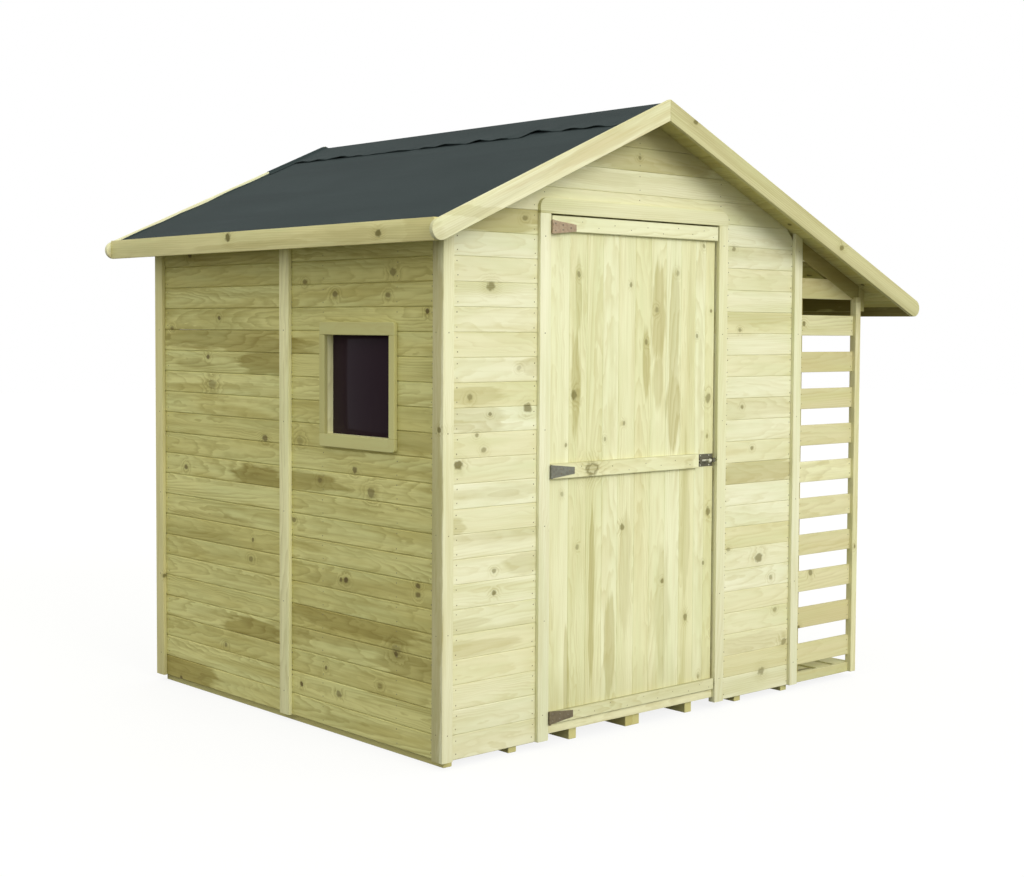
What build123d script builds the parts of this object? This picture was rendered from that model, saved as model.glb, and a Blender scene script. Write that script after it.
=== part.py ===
from build123d import *
import os

# Wooden garden shed with a wood store at its side, built piece by piece in millimetres.
# +X runs to the right along the front, +Y goes back into the shed and +Z is up. The pieces are
# drawn from the body's front left corner at ground level and moved at the end, so that the
# origin lies under the middle of the whole shed.

# Body and store
body_w = 1934.0        # outside to outside of the corner trims, along the front
body_d = 1990.0        # outside to outside of the corner trims, front to back
store_w = 410.0        # wood store beyond the body's right side
eave_h = 1921.0        # ground to the underside of the roof boards over the left side
roof_slope = 0.454     # rise over run, the same on both sides
skirt_gap = 25.0       # ground to the bottom edge of the wall boards

# Timber
trim_t = 16.0          # cover battens and trims
trim_w = 48.0          # corner trims seen from the front
side_trim_w = 60.0     # corner trims seen from the side
batten_w = 64.0        # batten over the joint of two panels
clad_t = 16.0          # wall boards
stud_w = 45.0
stud_t = 28.0
panel_shift = 8.0      # the side walls' panel joint lies this far in front of the middle

# Floor, two panels side by side
joist_w = 38.0
joist_h = 45.0
joist_count = 4        # in each panel
deck_t = 16.0

# Doorway and door
door_w = 911.0         # between the jamb trims
door_off = -14.5       # middle of the doorway from the middle of the body
door_rise = 31.0       # underside of the head trim above the eave height
jamb_trim_w = 52.0
head_trim_w = 56.0
head_corner_r = 34.0
stop_w = 15.0          # door stop standing into the doorway
stop_gap = 6.0         # door stop to the back of the door
sill_up = 16.0         # sill above the deck
door_gap = 5.0         # at the hinges and under the door
head_gap = 6.0
latch_gap = 8.0
leaf_t = 18.0
ledge_t = 18.0
ledge_w = 56.0
bottom_ledge_w = 44.0

# Window in the left wall
win_y = 279.0          # near edge of the frame
win_w = 468.0
win_h = 466.0
win_drop = 366.0       # eave height to the top of the frame
win_stile = 34.0
win_rail = 48.0
win_corner_r = 14.0
liner_t = 10.0
pane_x = 40.0
pane_t = 4.0

# Roof
over_front = 142.0     # overhang of the barge boards past the trims
over_left = 140.0      # left trims to the outer face of the left fascia
over_right = 218.0     # store posts to the outer face of the right fascia
roof_board_t = 18.0
felt_t = 3.0
strip_t = 2.0
strip_run = 150.0      # ridge strip, measured level from the ridge
barge_t = 18.0
barge_w = 73.0
barge_out = -2.0       # middle of the rounded end past the fascia's outer face
barge_rise = 35.0      # barge top edge above the underside of the roof boards, upright
fascia_h = 77.0
fascia_rise = 43.0     # fascia top above the underside of the roof boards
rafter_w = 45.0
rafter_h = 75.0

# Wood store
slat_w = 87.0
slat_pitch = 157.0
slat_up = 77.0         # bottom of the wall boards to the underside of the lowest slat
post_w = 72.0          # corner post, seen from the front
post_lap = 24.0        # how far it covers the sloping rail's lower edge
beam_w = 45.0
beam_h = 92.0
store_rail_h = 45.0
store_board_w = 70.0
store_board_t = 16.0
store_board_gap = 10.0 # least gap between two floor boards of the store

# Ironwork
pin_r = 2.5
knuckle_r = 5.0
pin_play = 0.05
pin_proud = 1.2        # pin past the knuckles at each end
strap_t = 2.5
strap_len = 117.0
strap_root = 50.0
strap_tip = 25.0
leaf_plate_t = 2.0
leaf_plate_d = 14.0    # hinge leaf along the jamb trim's edge
leaf_plate_h = 44.0
middle_knuckle = 16.0
top_hinge_up = 14.0    # top hinge's middle above the top ledge's underside
knuckle_gap = 0.5
plate_len = 94.0
plate_h = 50.0
plate_t = 2.0
latch_end_gap = 3.0
guide_w = 12.0
guide_h = 18.0
bolt_r = 4.0
bolt_travel = 22.0
stem_r = 3.0
knob_r = 8.0
knob_out = 12.0        # knob's middle in front of the ledges
keep_play = 1.6
keep_end_gap = 8.0     # hole in the jamb trim past the end of the thrown bolt

# Positions that follow
ridge_x = body_w / 2
total_w = body_w + store_w
left_end = -over_left
right_end = total_w + over_right
back = body_d
inner = trim_t + clad_t
frame_in = inner + stud_t
cos_roof = 1 / (1 + roof_slope ** 2) ** 0.5
roof_front = -over_front + barge_t
roof_back = back + over_front - barge_t
deck_z = joist_h
deck_top = joist_h + deck_t
barge_deep = barge_w / cos_roof
door_left = ridge_x + door_off - door_w / 2
door_right = door_left + door_w
door_top = eave_h + door_rise
sill_top = deck_top + sill_up
win_z = eave_h - win_drop - win_h
slat_first = skirt_gap + slat_up


def under(x):
    """Height of the underside of the roof boards over x."""
    return eave_h + roof_slope * (ridge_x - abs(x - ridge_x))


def box(x0, x1, y0, y1, z0, z1):
    """Block between two opposite corners."""
    return Pos((x0 + x1) / 2, (y0 + y1) / 2, (z0 + z1) / 2) * Box(x1 - x0, y1 - y0, z1 - z0)


def front_prism(points, y0, y1):
    """Outline in X and Z, pulled from y0 to y1."""
    face = Plane.XZ * make_face(Polyline(*points, close=True))
    return Pos(0, y1, 0) * extrude(face, amount=y1 - y0)


def gable_points(x0, x1, z0, drop=0.0):
    """Outline of a wall from z0 up to the roof, with the ridge where it falls inside."""
    top = [(x1, under(x1) - drop)]
    if x0 < ridge_x < x1:
        top.append((ridge_x, under(ridge_x) - drop))
    top.append((x0, under(x0) - drop))
    return [(x0, z0), (x1, z0)] + top


def roof_slab(x0, x1, low, high):
    """Outline of a layer that follows the roof between two levels above its underside."""
    steps = [x0, x1]
    if x0 < ridge_x < x1:
        steps = [x0, ridge_x, x1]
    below = [(x, under(x) + low) for x in steps]
    above = [(x, under(x) + high) for x in reversed(steps)]
    return below + above


def side_wall(x_out, x_in, x_stud, y0, y1, f0, f1):
    """Side wall panel: boards from y0 to y1 and a frame behind them from f0 to f1."""
    def slab(xa, xb, ya, yb, za, zb=None):
        lo, hi = min(xa, xb), max(xa, xb)
        if zb is None:
            return front_prism([(lo, za), (hi, za), (hi, under(hi)), (lo, under(lo))], ya, yb)
        return box(lo, hi, ya, yb, za, zb)
    wall = slab(x_out, x_in, y0, y1, skirt_gap)
    top_low = min(under(x_in), under(x_stud)) - stud_w
    for ya in (f0, f1 - stud_w):
        wall += slab(x_in, x_stud, ya, ya + stud_w, deck_top)
    wall += slab(x_in, x_stud, f0, f1, deck_top, deck_top + stud_w)
    wall += slab(x_in, x_stud, f0, f1, top_low)
    return wall


def gable_wall(x0, x1, y_out, y_in, y_stud, z0, studs, rails):
    """Front or back wall panel: boards, upright studs and level rails."""
    lo, hi = min(y_out, y_in), max(y_out, y_in)
    wall = front_prism(gable_points(x0, x1, z0), lo, hi)
    lo, hi = min(y_in, y_stud), max(y_in, y_stud)
    for xa, za in studs:
        wall += front_prism(gable_points(xa, xa + stud_w, za), lo, hi)
    for xa, xb, za, zb in rails:
        wall += box(xa, xb, lo, hi, za, zb)
    return wall


parts = {}

# Floor on its joists
floor = box(inner, body_w - inner, inner, back - inner, deck_z, deck_top)
joist_pitch = (ridge_x - inner - joist_w) / (joist_count - 1)
for panel_x in (inner, ridge_x):
    for i in range(joist_count):
        xa = panel_x + i * joist_pitch
        floor += box(xa, xa + joist_w, inner, back - inner, 0, joist_h)
parts["floor"] = floor

# Door sill, in front of the deck and on it
sill = box(door_left, door_right, trim_t, inner, deck_z, sill_top)
sill += box(door_left, door_right, inner, frame_in, deck_top, sill_top)
parts["door_sill"] = sill

# Front wall, split beside and over the doorway
stop_y = ledge_t + leaf_t + stop_gap
front_y = (trim_t, inner, frame_in)
left_panel = gable_wall(trim_t, door_left, *front_y, skirt_gap,
                        [(inner, deck_top), (door_left - stud_w, deck_top)],
                        [(inner, door_left, deck_top, deck_top + stud_w)])
left_panel += box(door_left, door_left + stop_w, stop_y, frame_in, sill_top, door_top)
parts["front_wall_left"] = left_panel
right_panel = gable_wall(door_right, body_w - trim_t, *front_y, skirt_gap,
                         [(door_right, deck_top), (body_w - inner - stud_w, deck_top)],
                         [(door_right, body_w - inner, deck_top, deck_top + stud_w)])
right_panel += box(door_right - stop_w, door_right, stop_y, frame_in, sill_top, door_top)
parts["front_wall_right"] = right_panel
gable = gable_wall(door_left, door_right, *front_y, door_top,
                   [(ridge_x - stud_w / 2, door_top)],
                   [(door_left, door_right, door_top, door_top + stud_w)])
gable += box(door_left + stop_w, door_right - stop_w, stop_y, frame_in, door_top - stop_w, door_top)
parts["front_gable"] = gable

# Back wall
back_y = (back - trim_t, back - inner, back - frame_in)
back_studs = [(x, deck_top) for x in (inner, ridge_x - stud_w / 2, body_w - inner - stud_w)]
parts["back_wall"] = gable_wall(trim_t, body_w - trim_t, *back_y, skirt_gap, back_studs,
                                [(inner, body_w - inner, deck_top, deck_top + stud_w)])

# Left wall in two panels, the front one with the window hole
panel_joint = body_d / 2 - panel_shift
left_x = (trim_t, inner, frame_in)
left_rear = side_wall(*left_x, panel_joint, back - inner, panel_joint, back - frame_in)
parts["left_wall_rear"] = left_rear
left_front = side_wall(*left_x, inner, panel_joint, frame_in, panel_joint)
hole_y0 = win_y + win_stile - liner_t
hole_y1 = win_y + win_w - win_stile + liner_t
hole_z0 = win_z + win_rail - liner_t
hole_z1 = win_z + win_h - win_rail + liner_t
for ya in (hole_y0 - stud_w, hole_y1):
    left_front += box(inner, frame_in, ya, ya + stud_w, deck_top + stud_w, under(inner) - stud_w)
for za in (hole_z0 - stud_w, hole_z1):
    left_front += box(inner, frame_in, hole_y0, hole_y1, za, za + stud_w)
left_front -= box(0, frame_in + stud_t, hole_y0, hole_y1, hole_z0, hole_z1)
parts["left_wall_front"] = left_front

# Right wall of the body, towards the store
right_wall = side_wall(body_w - trim_t, body_w - inner, body_w - frame_in,
                       inner, back - inner, frame_in, back - frame_in)
right_wall += box(body_w - frame_in, body_w - inner,
                  panel_joint - stud_w / 2, panel_joint + stud_w / 2,
                  deck_top + stud_w, under(body_w - inner) - stud_w)
parts["right_wall"] = right_wall

# Window frame with its liner, and the pane
window = box(0, trim_t, win_y, win_y + win_w, win_z, win_z + win_h)
window = fillet(window.edges().filter_by(Axis.X), win_corner_r)
window += box(trim_t, frame_in, hole_y0, hole_y1, hole_z0, hole_z1)
light = (hole_y0 + liner_t, hole_y1 - liner_t, hole_z0 + liner_t, hole_z1 - liner_t)
window -= box(0, frame_in, *light)
parts["window_frame"] = window
parts["window_pane"] = box(pane_x, pane_x + pane_t, *light)

# Corner trims, battens over the panel joints and the trims round the doorway
def corner_trim(x_out, x_dir, y_out, y_dir):
    """Two battens that meet on a corner, cut under the roof."""
    xa, xb = x_out, x_out + x_dir * trim_w
    ya, yb = y_out, y_out + y_dir * trim_t
    low, high = min(xa, xb), max(xa, xb)
    face = front_prism(gable_points(low, high, skirt_gap), min(ya, yb), max(ya, yb))
    xc = x_out + x_dir * trim_t
    low, high = min(xa, xc), max(xa, xc)
    yc, yd = yb, y_out + y_dir * side_trim_w
    side = front_prism(gable_points(low, high, skirt_gap), min(yc, yd), max(yc, yd))
    return face + side


parts["front_left_corner_trim"] = corner_trim(0, 1, 0, 1)
parts["back_left_corner_trim"] = corner_trim(0, 1, back, -1)
parts["front_right_corner_trim"] = corner_trim(body_w, -1, 0, 1)
parts["back_right_corner_trim"] = corner_trim(body_w, -1, back, -1)
parts["left_wall_batten"] = front_prism(gable_points(0, trim_t, skirt_gap),
                                        panel_joint - batten_w / 2, panel_joint + batten_w / 2)
back_batten = gable_points(ridge_x - batten_w / 2, ridge_x + batten_w / 2, skirt_gap)
parts["back_wall_batten"] = front_prism(back_batten, back - trim_t, back)
parts["left_jamb_trim"] = box(door_left - jamb_trim_w, door_left, 0, trim_t, skirt_gap, door_top)
right_jamb = box(door_right, door_right + jamb_trim_w, 0, trim_t, skirt_gap, door_top)
head = box(door_left - jamb_trim_w, door_right + jamb_trim_w, 0, trim_t,
           door_top, door_top + head_trim_w)
parts["door_head_trim"] = fillet(head.edges().filter_by(Axis.Y).group_by(Axis.Z)[-1], head_corner_r)

# Roof boards, felt and the ridge strip
left_in = left_end + barge_t
right_in = right_end - barge_t
board_up = roof_board_t / cos_roof
felt_up = board_up + felt_t / cos_roof
strip_up = felt_up + strip_t / cos_roof
roof_layers = {
    "roof_boards_left": (left_in, ridge_x, 0, board_up),
    "roof_boards_right": (ridge_x, right_in, 0, board_up),
    "roof_felt": (left_in, right_in, board_up, felt_up),
    "ridge_felt_strip": (ridge_x - strip_run, ridge_x + strip_run, felt_up, strip_up),
}
for name, layer in roof_layers.items():
    parts[name] = front_prism(roof_slab(*layer), roof_front, roof_back)

# Fascias along the two eaves
for name, outer, xa, xb in (("left", left_end, left_end, left_in), ("right", right_end, right_in, right_end)):
    fascia_top = under(outer) + fascia_rise
    parts[name + "_eave_fascia"] = box(xa, xb, roof_front, roof_back, fascia_top - fascia_h, fascia_top)


# Barge boards with rounded lower ends, mitred at the ridge
def barge(x_end, y0):
    """One barge board from the ridge down to a rounded end at x_end."""
    side = 1 if x_end > ridge_x else -1
    lean = roof_slope * cos_roof * barge_w
    top = under(x_end) + barge_rise
    low = (x_end - side * lean, top - cos_roof * barge_w)
    peak = under(ridge_x) + barge_rise
    board = front_prism([(ridge_x, peak), (x_end, top), low, (ridge_x, peak - barge_deep)],
                        y0, y0 + barge_t)
    middle = Pos((x_end + low[0]) / 2, y0 + barge_t / 2, (top + low[1]) / 2)
    return board + middle * Rot(90, 0, 0) * Cylinder(barge_w / 2, barge_t)


barge_left = left_end - barge_out
barge_right = right_end + barge_out
for name, y0 in (("front", -over_front), ("back", back + over_front - barge_t)):
    parts[name + "_left_barge"] = barge(barge_left, y0)
    parts[name + "_right_barge"] = barge(barge_right, y0)

# Middle pair of rafters
mid_y = body_d / 2
parts["middle_rafters"] = front_prism(roof_slab(frame_in, body_w - frame_in, -rafter_h, 0),
                                      mid_y - rafter_w / 2, mid_y + rafter_w / 2)


# Wood store: posts, beam, slatted ends and slatted floor
def store_end(y0, y1, batten_y0, batten_y1):
    """Slats with a sloping top rail and two nailing battens behind them."""
    x0, x1 = body_w, total_w
    rail_low = [(x0, under(x0) - rafter_h), (x1, under(x1) - rafter_h)]
    end = front_prism(rail_low + [(x1, under(x1)), (x0, under(x0))], y0, y1)
    z = slat_first
    limit = front_prism([(x1, 0), (x0, 0)] + rail_low, y0, y1)
    while z < under(x0) - rafter_h:
        end += limit & box(x0, x1, y0, y1, z, z + slat_w)
        z += slat_pitch
    for xa in (x0, x1 - stud_w):
        end += front_prism(gable_points(xa, xa + stud_w, skirt_gap), batten_y0, batten_y1)
    return end


parts["store_front_slats"] = store_end(trim_t, inner, inner, frame_in)
parts["store_back_slats"] = store_end(back - inner, back - trim_t, back - frame_in, back - inner)
post_top = under(total_w) - rafter_h + post_lap
for name, y0, y1 in (("front", 0, trim_t), ("back", back - trim_t, back)):
    parts[f"store_{name}_post"] = box(total_w - post_w, total_w, y0, y1, skirt_gap, post_top)
beam_out = total_w + beam_w
beam_end = gable_points(total_w, beam_out, under(beam_out) - beam_h)
parts["store_eave_beam"] = front_prism(beam_end, trim_t, back - trim_t)
rail_top = skirt_gap + store_rail_h
store_in = total_w - stud_w
store_floor = box(body_w, total_w, frame_in, frame_in + stud_w, skirt_gap, rail_top)
store_floor += box(body_w, total_w, back - frame_in - stud_w, back - frame_in, skirt_gap, rail_top)
store_floor += box(body_w, total_w, mid_y - stud_w / 2, mid_y + stud_w / 2, skirt_gap, rail_top)
store_floor += box(body_w + stud_w, store_in, trim_t, frame_in, skirt_gap, rail_top)
store_floor += box(body_w + stud_w, store_in, back - frame_in, back - trim_t, skirt_gap, rail_top)
clear_w = store_in - body_w - stud_w
board_count = int((clear_w + store_board_gap) / (store_board_w + store_board_gap))
board_pitch = (clear_w - store_board_w) / (board_count - 1)
for i in range(board_count):
    xa = body_w + stud_w + i * board_pitch
    store_floor += box(xa, xa + store_board_w, trim_t, back - trim_t, rail_top, rail_top + store_board_t)
parts["store_floor"] = store_floor

# Door: boards with three ledges on the outside
leaf_x0 = door_left + door_gap
leaf_x1 = door_right - latch_gap
leaf_z0 = sill_top + door_gap
leaf_z1 = door_top - head_gap
mid_ledge_z = (leaf_z0 + leaf_z1 - ledge_w) / 2
latch_x0 = leaf_x1 - plate_len - 2 * latch_end_gap
leaf = box(leaf_x0, leaf_x1, ledge_t, ledge_t + leaf_t, leaf_z0, leaf_z1)
leaf += box(leaf_x0, leaf_x1, 0, ledge_t, leaf_z1 - ledge_w, leaf_z1)
leaf += box(leaf_x0, latch_x0, 0, ledge_t, mid_ledge_z, mid_ledge_z + ledge_w)
leaf += box(leaf_x0, leaf_x1, 0, ledge_t, leaf_z0, leaf_z0 + bottom_ledge_w)
parts["door_leaf"] = leaf

# Strap hinges: a tapered strap on each ledge, a leaf on the jamb trim's edge and a pin through both
pivot_x = door_left + door_gap / 2
pivot_y = -knuckle_r - knuckle_gap
pin_len = strap_root + 2 * pin_proud
hinge_z = {
    "top": leaf_z1 - ledge_w + top_hinge_up,
    "middle": mid_ledge_z + ledge_w / 2,
    "bottom": leaf_z0 + max(bottom_ledge_w, strap_root) / 2,
}


def round_up(radius, height, z):
    """Upright cylinder on the hinge line."""
    return Pos(pivot_x, pivot_y, z) * Cylinder(radius, height)


def hinge_strap(z):
    """Tapered strap with an upper and a lower knuckle."""
    root_x = pivot_x + leaf_plate_t
    tip_x = leaf_x0 + strap_len
    strap = front_prism([(root_x, z - strap_root / 2), (tip_x, z - strap_tip / 2),
                         (tip_x, z + strap_tip / 2), (root_x, z + strap_root / 2)], -strap_t, 0)
    strap += box(pivot_x, root_x, pivot_y, 0, z - strap_root / 2, z + strap_root / 2)
    strap += round_up(knuckle_r, strap_root, z)
    strap -= round_up(pin_r + pin_play, pin_len, z)
    strap -= round_up(2 * knuckle_r, middle_knuckle + 2 * knuckle_gap, z)
    return strap


def hinge_leaf(z):
    """Middle knuckle with its pin, on a plate along the jamb trim's edge."""
    x1 = door_left + leaf_plate_t
    plate = box(door_left, x1, 0, leaf_plate_d, z - leaf_plate_h / 2, z + leaf_plate_h / 2)
    plate += box(door_left, x1, pivot_y, 0, z - middle_knuckle / 2, z + middle_knuckle / 2)
    return plate + round_up(knuckle_r, middle_knuckle, z) + round_up(pin_r, pin_len, z)


for name, z in hinge_z.items():
    parts[f"hinge_strap_{name}"] = hinge_strap(z)
    parts[f"hinge_leaf_{name}"] = hinge_leaf(z)

# Bolt on the door's free edge, and its hole in the right jamb trim
bolt_z = mid_ledge_z + ledge_w / 2
bolt_y = trim_t / 2
plate_x0 = latch_x0 + latch_end_gap
plate_x1 = leaf_x1 - latch_end_gap
plate_y = ledge_t - plate_t


def rod_across(radius, x0, x1):
    """Level cylinder along the bolt's line."""
    return Pos((x0 + x1) / 2, bolt_y, bolt_z) * Rot(0, 90, 0) * Cylinder(radius, x1 - x0)


def rod_out(radius, y0, y1):
    """Level cylinder that stands out of the bolt towards the front."""
    return Pos(knob_x, (y0 + y1) / 2, bolt_z) * Rot(90, 0, 0) * Cylinder(radius, y1 - y0)


plate = box(plate_x0, plate_x1, plate_y, ledge_t, bolt_z - plate_h / 2, bolt_z + plate_h / 2)
for xa in (plate_x0 + latch_end_gap, plate_x1 - latch_end_gap - guide_w):
    plate += box(xa, xa + guide_w, 0, plate_y, bolt_z - guide_h / 2, bolt_z + guide_h / 2)
parts["latch_plate"] = plate - rod_across(bolt_r + pin_play, latch_x0, leaf_x1)
knob_x = (plate_x0 + plate_x1) / 2
bolt = rod_across(bolt_r, plate_x0, plate_x1)
bolt += rod_out(stem_r, -knob_out, bolt_y)
bolt += Pos(knob_x, -knob_out, bolt_z) * Sphere(knob_r)
parts["latch_bolt"] = bolt
keep_end = plate_x1 + bolt_travel + keep_end_gap
parts["right_jamb_trim"] = right_jamb - rod_across(bolt_r + keep_play, leaf_x1, keep_end)

# Move everything so that the origin lies under the middle of the whole shed
tip_out = barge_w / 2 * (1 - roof_slope * cos_roof)
low_x = barge_left - tip_out
high_x = barge_right + tip_out
shift = Pos(-(low_x + high_x) / 2, -body_d / 2, 0)
os.makedirs("parts", exist_ok=True)
for name, solid in parts.items():
    export_step(shift * solid, f"parts/{name}.step")
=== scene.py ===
import logging
import math
import random
from dataclasses import dataclass, field, replace
from enum import Enum
from typing import Any, Callable, Iterable, Optional, Sequence

import bmesh
import bpy
from mathutils import Matrix, Vector, noise


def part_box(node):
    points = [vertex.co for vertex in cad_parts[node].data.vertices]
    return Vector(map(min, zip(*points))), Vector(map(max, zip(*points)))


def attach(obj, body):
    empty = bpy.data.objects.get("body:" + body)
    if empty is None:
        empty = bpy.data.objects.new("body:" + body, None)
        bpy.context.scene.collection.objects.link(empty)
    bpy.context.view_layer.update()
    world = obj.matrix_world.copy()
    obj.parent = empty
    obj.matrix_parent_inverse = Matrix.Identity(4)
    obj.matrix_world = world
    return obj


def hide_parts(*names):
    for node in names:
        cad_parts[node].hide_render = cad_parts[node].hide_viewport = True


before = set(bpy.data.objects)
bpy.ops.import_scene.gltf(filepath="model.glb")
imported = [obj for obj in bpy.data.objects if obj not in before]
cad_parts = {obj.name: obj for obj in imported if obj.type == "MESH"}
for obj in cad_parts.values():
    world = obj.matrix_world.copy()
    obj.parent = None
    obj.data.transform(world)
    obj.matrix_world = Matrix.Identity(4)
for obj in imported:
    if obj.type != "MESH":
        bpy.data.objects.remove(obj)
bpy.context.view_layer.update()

log = logging.getLogger("garden_shed")

Colour = tuple[float, float, float, float]
Point = tuple[float, float, float]

# The body's front left corner at ground level, from which every size below is taken, in millimetres
CORNER_X = 1211.0
CORNER_Y = 995.0

# Sizes that more than one sub-assembly shares, in millimetres from that corner
BODY_W = 1934.0
BODY_D = 1990.0
STORE_END = 2344.0
EAVE_H = 1921.0
SLOPE = 0.454
RIDGE_X = BODY_W / 2
RIDGE_H = EAVE_H + SLOPE * RIDGE_X
SKIRT = 25.0
COVER = 88.0
TRIM_T = 16.0
INNER = 32.0
FRAME_IN = 60.0
PANEL_JOINT = 987.0
DECK_TOP = 61.0
STUD = 45.0
DOOR_LEFT = 497.0
DOOR_RIGHT = 1408.0
WINDOW_HOLE = (303.0, 723.0, 1127.0, 1517.0)
ROOF_LEFT = -122.0
ROOF_RIGHT = 2544.0
ROOF_FRONT = -124.0
ROOF_BACK = 2114.0
LEAN = math.atan(SLOPE)

# An edge is softened past the first of these angles, and stays crisp in shading past the second.
# Faces of a solid that are turned by less than the third are one face, and corners of it that
# are nearer than the fourth, in metres, are one corner.
ARRIS_FROM = math.radians(25)
CRISP_FROM = math.radians(28)
FLAT_WITHIN = math.radians(0.5)
WELD = 2e-5

# How far a timber's grain is shifted along, across and into it, in metres: lowest and highest
DRESSED_SHIFT = ((0, 9), (-0.2, 0.2), (-0.1, 0.1))
LOOSE_SHIFT = ((0, 9), (-0.05, 0.05), (-0.1, 0.1))
DRESSED_TONE = 0.6


def at(x: float, y: float, z: float) -> Vector:
    """Point of the model in metres.

    Args:
        x: Millimetres to the right of the body's front left corner.
        y: Millimetres back from it.
        z: Millimetres above the ground.

    Returns:
        The point in the shared frame.
    """
    return Vector(((x - CORNER_X) / 1000, (y - CORNER_Y) / 1000, z / 1000))


def under(x: float) -> float:
    """Height of the roof boards' underside over x, in millimetres."""
    return EAVE_H + SLOPE * (RIDGE_X - abs(x - RIDGE_X))


def paint(red: float, green: float, blue: float) -> Colour:
    """Linear colour from three display values of 0 to 255.

    Args:
        red, green, blue: Its display values, 0 to 255.

    Returns:
        The linear colour, opaque.
    """
    def linear(v: float) -> float:
        """One channel, from display to linear."""
        v /= 255
        return v / 12.92 if v <= 0.04045 else ((v + 0.055) / 1.055) ** 2.4
    return linear(red), linear(green), linear(blue), 1.0


class Graph:
    """Node tree that is being wired up, of a material, a group or Geometry Nodes."""

    def __init__(self, tree: bpy.types.NodeTree) -> None:
        """Takes the tree as it is."""
        self.tree = tree

    @classmethod
    def group(cls, name: str, kind: str, inputs: Sequence[Any],
              outputs: Sequence[Any]) -> "Graph":
        """Starts a node group with its sockets.

        Args:
            name: Name of the group.
            kind: Type of its tree.
            inputs: Name, kind and default of each input, or a name alone for a number.
            outputs: The same of each output, without defaults.

        Returns:
            The graph, with its two end nodes as `start` and `end`.
        """
        graph = cls(bpy.data.node_groups.new(name, kind))
        for way, entries in (("INPUT", inputs), ("OUTPUT", outputs)):
            for entry in entries:
                label, socket, *default = (entry, "Float") if isinstance(entry, str) else entry
                made = graph.tree.interface.new_socket(label, in_out=way,
                                                       socket_type="NodeSocket" + socket)
                if default:
                    made.default_value = default[0]
        graph.start = graph.tree.nodes.new("NodeGroupInput")
        graph.end = graph.tree.nodes.new("NodeGroupOutput")
        return graph

    def put(self, socket: bpy.types.NodeSocket, value: Any) -> None:
        """Links a socket to another, or sets its constant.

        Args:
            socket: The socket.
            value: Another socket, a constant, or None to leave it as it is.
        """
        if isinstance(value, bpy.types.NodeSocket):
            self.tree.links.new(value, socket)
        elif value is not None:
            socket.default_value = value

    def add(self, kind: str, inputs: Optional[dict] = None, **settings: Any) -> bpy.types.Node:
        """Adds a node.

        Args:
            kind: The node's type.
            inputs: Values or links for its inputs, by name or number.
            settings: Its own settings.

        Returns:
            The node.
        """
        node = self.tree.nodes.new(kind)
        for key, value in settings.items():
            setattr(node, key, value)
        for key, value in (inputs or {}).items():
            self.put(node.inputs[key], value)
        return node

    def sum(self, operation: str, a: Any, b: Any = None, c: Any = None, clamp: bool = False) -> Any:
        """Result of one Math node."""
        return self.add("ShaderNodeMath", {0: a, 1: b, 2: c}, operation=operation,
                        use_clamp=clamp).outputs[0]

    def product(self, a: Any, b: Any) -> Any:
        """One value times another."""
        return self.sum("MULTIPLY", a, b)

    def swing(self, value: Any, reach: float) -> Any:
        """Noise of 0 to 1, brought about zero and made reach wide."""
        return self.product(self.sum("SUBTRACT", value, 0.5), reach)

    def parts(self, vector: Any) -> Any:
        """The three coordinates of a vector."""
        return self.add("ShaderNodeSeparateXYZ", {0: vector}).outputs

    def point(self, **coordinates: Any) -> Any:
        """Vector of the coordinates x, y and z that are given."""
        wanted = {"xyz".index(name): value for name, value in coordinates.items()}
        return self.add("ShaderNodeCombineXYZ", wanted).outputs[0]

    def arrow(self, operation: str, a: Any, b: Any = None, scale: Any = None) -> Any:
        """Result of one Vector Math node, a length where it gives one.

        Args:
            operation: What the node does.
            a, b: Its vectors.
            scale: Its factor, for SCALE.

        Returns:
            The vector, or a value where the operation gives one.
        """
        node = self.add("ShaderNodeVectorMath", {0: a, 1: b}, operation=operation)
        if scale is not None:
            self.put(node.inputs["Scale"], scale)
        plain = operation in ("LENGTH", "DISTANCE", "DOT_PRODUCT")
        return node.outputs["Value" if plain else "Vector"]

    def blend(self, share: Any, a: Any, b: Any, mode: str = "MIX") -> Any:
        """Mix of two colours.

        Args:
            share: How much of b there is, 0 to 1.
            a, b: The colours.
            mode: How b is mixed in.

        Returns:
            The colour.
        """
        node = self.add("ShaderNodeMix", {"Factor": share}, data_type="RGBA", blend_type=mode)
        self.put(node.inputs[6], a)
        self.put(node.inputs[7], b)
        return node.outputs[2]

    def deepen(self, share: Any, colour: Any, by: Colour) -> Any:
        """Colour that is multiplied by another where share is 1."""
        return self.blend(share, colour, self.blend(1.0, colour, by, "MULTIPLY"))

    def span(self, value: Any, low: Any, high: Any, start: Any = 0.0, end: Any = 1.0,
             smooth: bool = False) -> Any:
        """Value brought from low..high to start..end, and kept there."""
        return self.add("ShaderNodeMapRange", {0: value, 1: low, 2: high, 3: start, 4: end},
                        interpolation_type="SMOOTHSTEP" if smooth else "LINEAR").outputs[0]

    def noise(self, place: Any, scale: float, detail: float = 2.0, rough: float = 0.5) -> Any:
        """Noise value over a place.

        Args:
            place: Where it is read.
            scale: Its waves to the metre.
            detail: Its octaves.
            rough: How much the finer ones count.

        Returns:
            The noise value, about 0 to 1.
        """
        node = self.add("ShaderNodeTexNoise", {"Vector": place, "Scale": scale, "Detail": detail,
                                               "Roughness": rough})
        return node.outputs[0]

    def stretch(self, place: Any, along: float, across: float, deep: float) -> Any:
        """Place multiplied by a size for each axis."""
        return self.arrow("MULTIPLY", place, (along, across, deep))

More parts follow.
